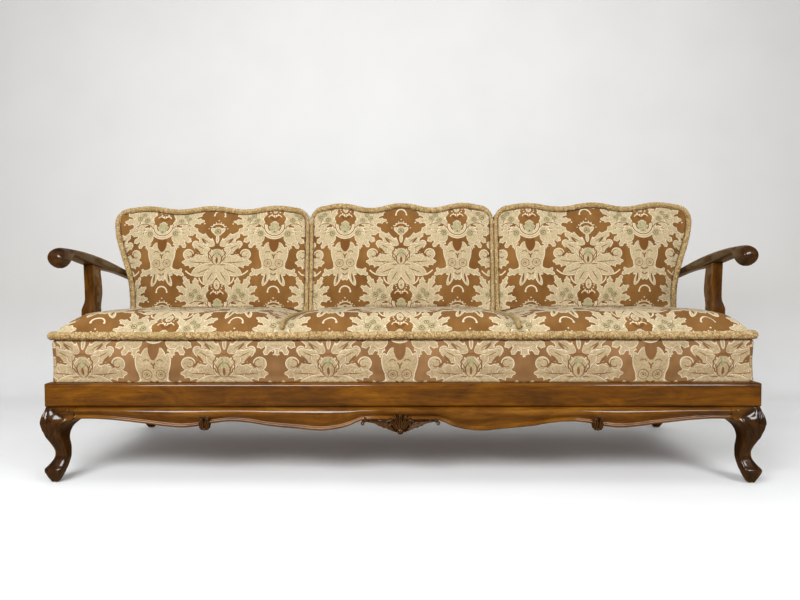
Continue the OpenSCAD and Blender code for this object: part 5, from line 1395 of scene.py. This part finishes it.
def floor_material():
    """Pale in front of the camera, brown in the lacquer, and clear for a camera behind the backdrop"""
    s = new_shader("Pale studio floor", Roughness=0.8)
    place = s.node("TexCoord", out="Object")
    pale = s.node("ValToRGB", s.node("TexNoise", place, 3, 2),
                  stops=((0.3, 0.7), (linear("#f4f6f7"), linear("#f8fafb"))))
    wall = s.node("Math GREATER_THAN", s.node("SeparateXYZ", place, out=None)[2], 0.2)
    glossy = s.node("LightPath", out="Is Glossy Ray")
    wall = s.node("Math MULTIPLY", wall, s.node("Math MULTIPLY_ADD", glossy, -0.88, 1.0))
    seen = s.node("LightPath", out="Is Camera Ray")
    colour = s.node("Mix", s.node("Math MAXIMUM", seen, wall), linear("#8a6f50"), pale, data_type="RGBA")
    s.tree.links.new(colour, s.surface.inputs["Base Color"])
    behind = s.node("Math MULTIPLY", seen, s.node("NewGeometry", out="Backfacing"))
    clear = s.node("BsdfTransparent")
    shader = s.node("MixShader", behind, s.surface.outputs[0], clear)
    s.tree.links.new(shader, s.tree.nodes["Material Output"].inputs["Surface"])
    return s.material


def add_floor():
    """A floor that curves up into a backdrop"""
    half, front, back, radius, rise = 6.0, -4.5, 0.9, 0.5, 2.6
    a = np.linspace(0.1, math.pi / 2, 12)
    curve = zip(back + radius * np.sin(a), radius - radius * np.cos(a))
    profile = [(front, 0), (back, 0), *curve, (back + radius, rise)]
    v, f = skin([[(x, y, z) for y, z in profile] for x in (-half, half)], closed_ends=False, around=False)
    corner, along, across = (v[i] for i in f[0][:3])
    if np.cross(along - corner, across - corner)[2] < 0:
        f = flipped(f)
    make("Stage_floor", v, f, floor_material(), front=0)


def add_world():
    """A pale surrounding, dimmer in the lacquer and darker below"""
    world = bpy.data.worlds.new("Studio")
    bpy.context.scene.world = world
    world.use_nodes = True
    s, back = Shader(world.node_tree), world.node_tree.nodes["Background"]
    back.inputs["Color"].default_value = linear("#f6f5f3")
    up = s.node("SeparateXYZ", s.node("TexCoord", out="Generated"), out=None)[2]
    sky = s.node("MapRange", up, 0.02, 0.4, 0.08, 0.4)
    glossy = s.node("LightPath", out="Is Glossy Ray")
    sky = s.node("Math MULTIPLY", sky, s.node("Math MULTIPLY_ADD", glossy, -0.9, 1.0))
    strength = s.node("Math MAXIMUM", sky,
                      s.node("Math MULTIPLY", s.node("LightPath", out="Is Camera Ray"), 0.85))
    s.tree.links.new(strength, back.inputs["Strength"])


def build_stage():
    """Pale floor with a curved backdrop, soft lamps and the photograph's camera"""
    add_floor()
    add_world()
    for place, aim, size, power, shows in LAMPS:
        lamp = bpy.data.lights.new("Softbox", "AREA")
        lamp.shape, lamp.energy = "RECTANGLE", power
        lamp.size, lamp.size_y = size
        obj = add_object("Softbox", lamp)
        obj.location = place
        obj.rotation_euler = (Vector(aim) - Vector(place)).to_track_quat("-Z", "Y").to_euler()
        obj.visible_glossy = shows
    camera = bpy.data.cameras.new("Camera")
    camera.lens, camera.sensor_width = CAMERA_LENS, CAMERA_SENSOR
    obj = add_object("Camera", camera)
    yaw, pitch, roll = (Matrix.Rotation(math.radians(angle), 4, axis)
                        for angle, axis in zip(CAMERA_YAW_PITCH_ROLL, "ZXY"))
    level = Matrix.Rotation(math.pi / 2, 4, "X")
    obj.matrix_world = Matrix.Translation(CAMERA_PLACE) @ yaw @ pitch @ roll @ level
    bpy.context.scene.camera = obj
    bpy.context.scene.view_settings.view_transform = "Standard"


# Operators and panel

def operator(idname, label, text, job, *values):
    """An operator class that runs one building step"""
    def execute(self, context):
        job(*values)
        return {"FINISHED"}

    return type("SOFA_OT_" + idname, (bpy.types.Operator,), {
        "__doc__": text, "bl_idname": "sofa." + idname, "bl_label": label, "execute": execute})


OPERATORS = [
    operator("materials", "Materials", "Makes the woods, the metal and the fabrics", build_materials),
    operator("frame", "Frame", "Gives each node of the frame its material", dress_frame),
    operator("aprons", "Aprons", "Builds the serpentine aprons", build_aprons),
    operator("legs", "Legs", "Builds the carved cabriole legs", build_legs),
    operator("carvings", "Carvings", "Builds the shell and the leaf carvings", build_carvings),
    operator("arms", "Armrests", "Builds the scroll armrests", build_arms),
    operator("posts", "Arm posts", "Builds the arm posts", build_posts),
    operator("mattress", "Seat mattress", "Builds the seat mattress", build_mattress),
    operator("seat_trim", "Seat trim", "Builds the fringe and the strips of the seat", build_seat_trim),
    operator("left_cushion", "Left cushion", "Builds the left cushion", build_cushion, 0, "Left"),
    operator("middle_cushion", "Middle cushion", "Builds the middle cushion", build_cushion, 1, "Middle"),
    operator("right_cushion", "Right cushion", "Builds the right cushion", build_cushion, 2, "Right"),
    operator("stage", "Stage", "Builds the floor, the lamps and the camera", build_stage)]


class SOFA_PT_panel(bpy.types.Panel):
    """Sizes and building steps of the sofa"""
    bl_label = "Cabriole sofa"
    bl_space_type = "VIEW_3D"
    bl_region_type = "UI"
    bl_category = "Sofa"

    def draw(self, context):
        for key in GROUPS:
            box = self.layout.box()
            group_sizes = getattr(context.scene, key)
            for name in group_sizes.__annotations__:
                box.prop(group_sizes, name)
        for cls in OPERATORS:
            self.layout.operator(cls.bl_idname)


def register():
    for key, cls in GROUPS.items():
        bpy.utils.register_class(cls)
        setattr(bpy.types.Scene, key, PointerProperty(type=cls))
    for cls in OPERATORS + [SOFA_PT_panel]:
        bpy.utils.register_class(cls)


def unregister():
    for cls in [SOFA_PT_panel] + OPERATORS[::-1]:
        bpy.utils.unregister_class(cls)
    for key, cls in GROUPS.items():
        delattr(bpy.types.Scene, key)
        bpy.utils.unregister_class(cls)


def main():
    register()
    for cls in OPERATORS:
        getattr(bpy.ops.sofa, cls.bl_idname.split(".")[1])()


if __name__ == "__main__":
    main()
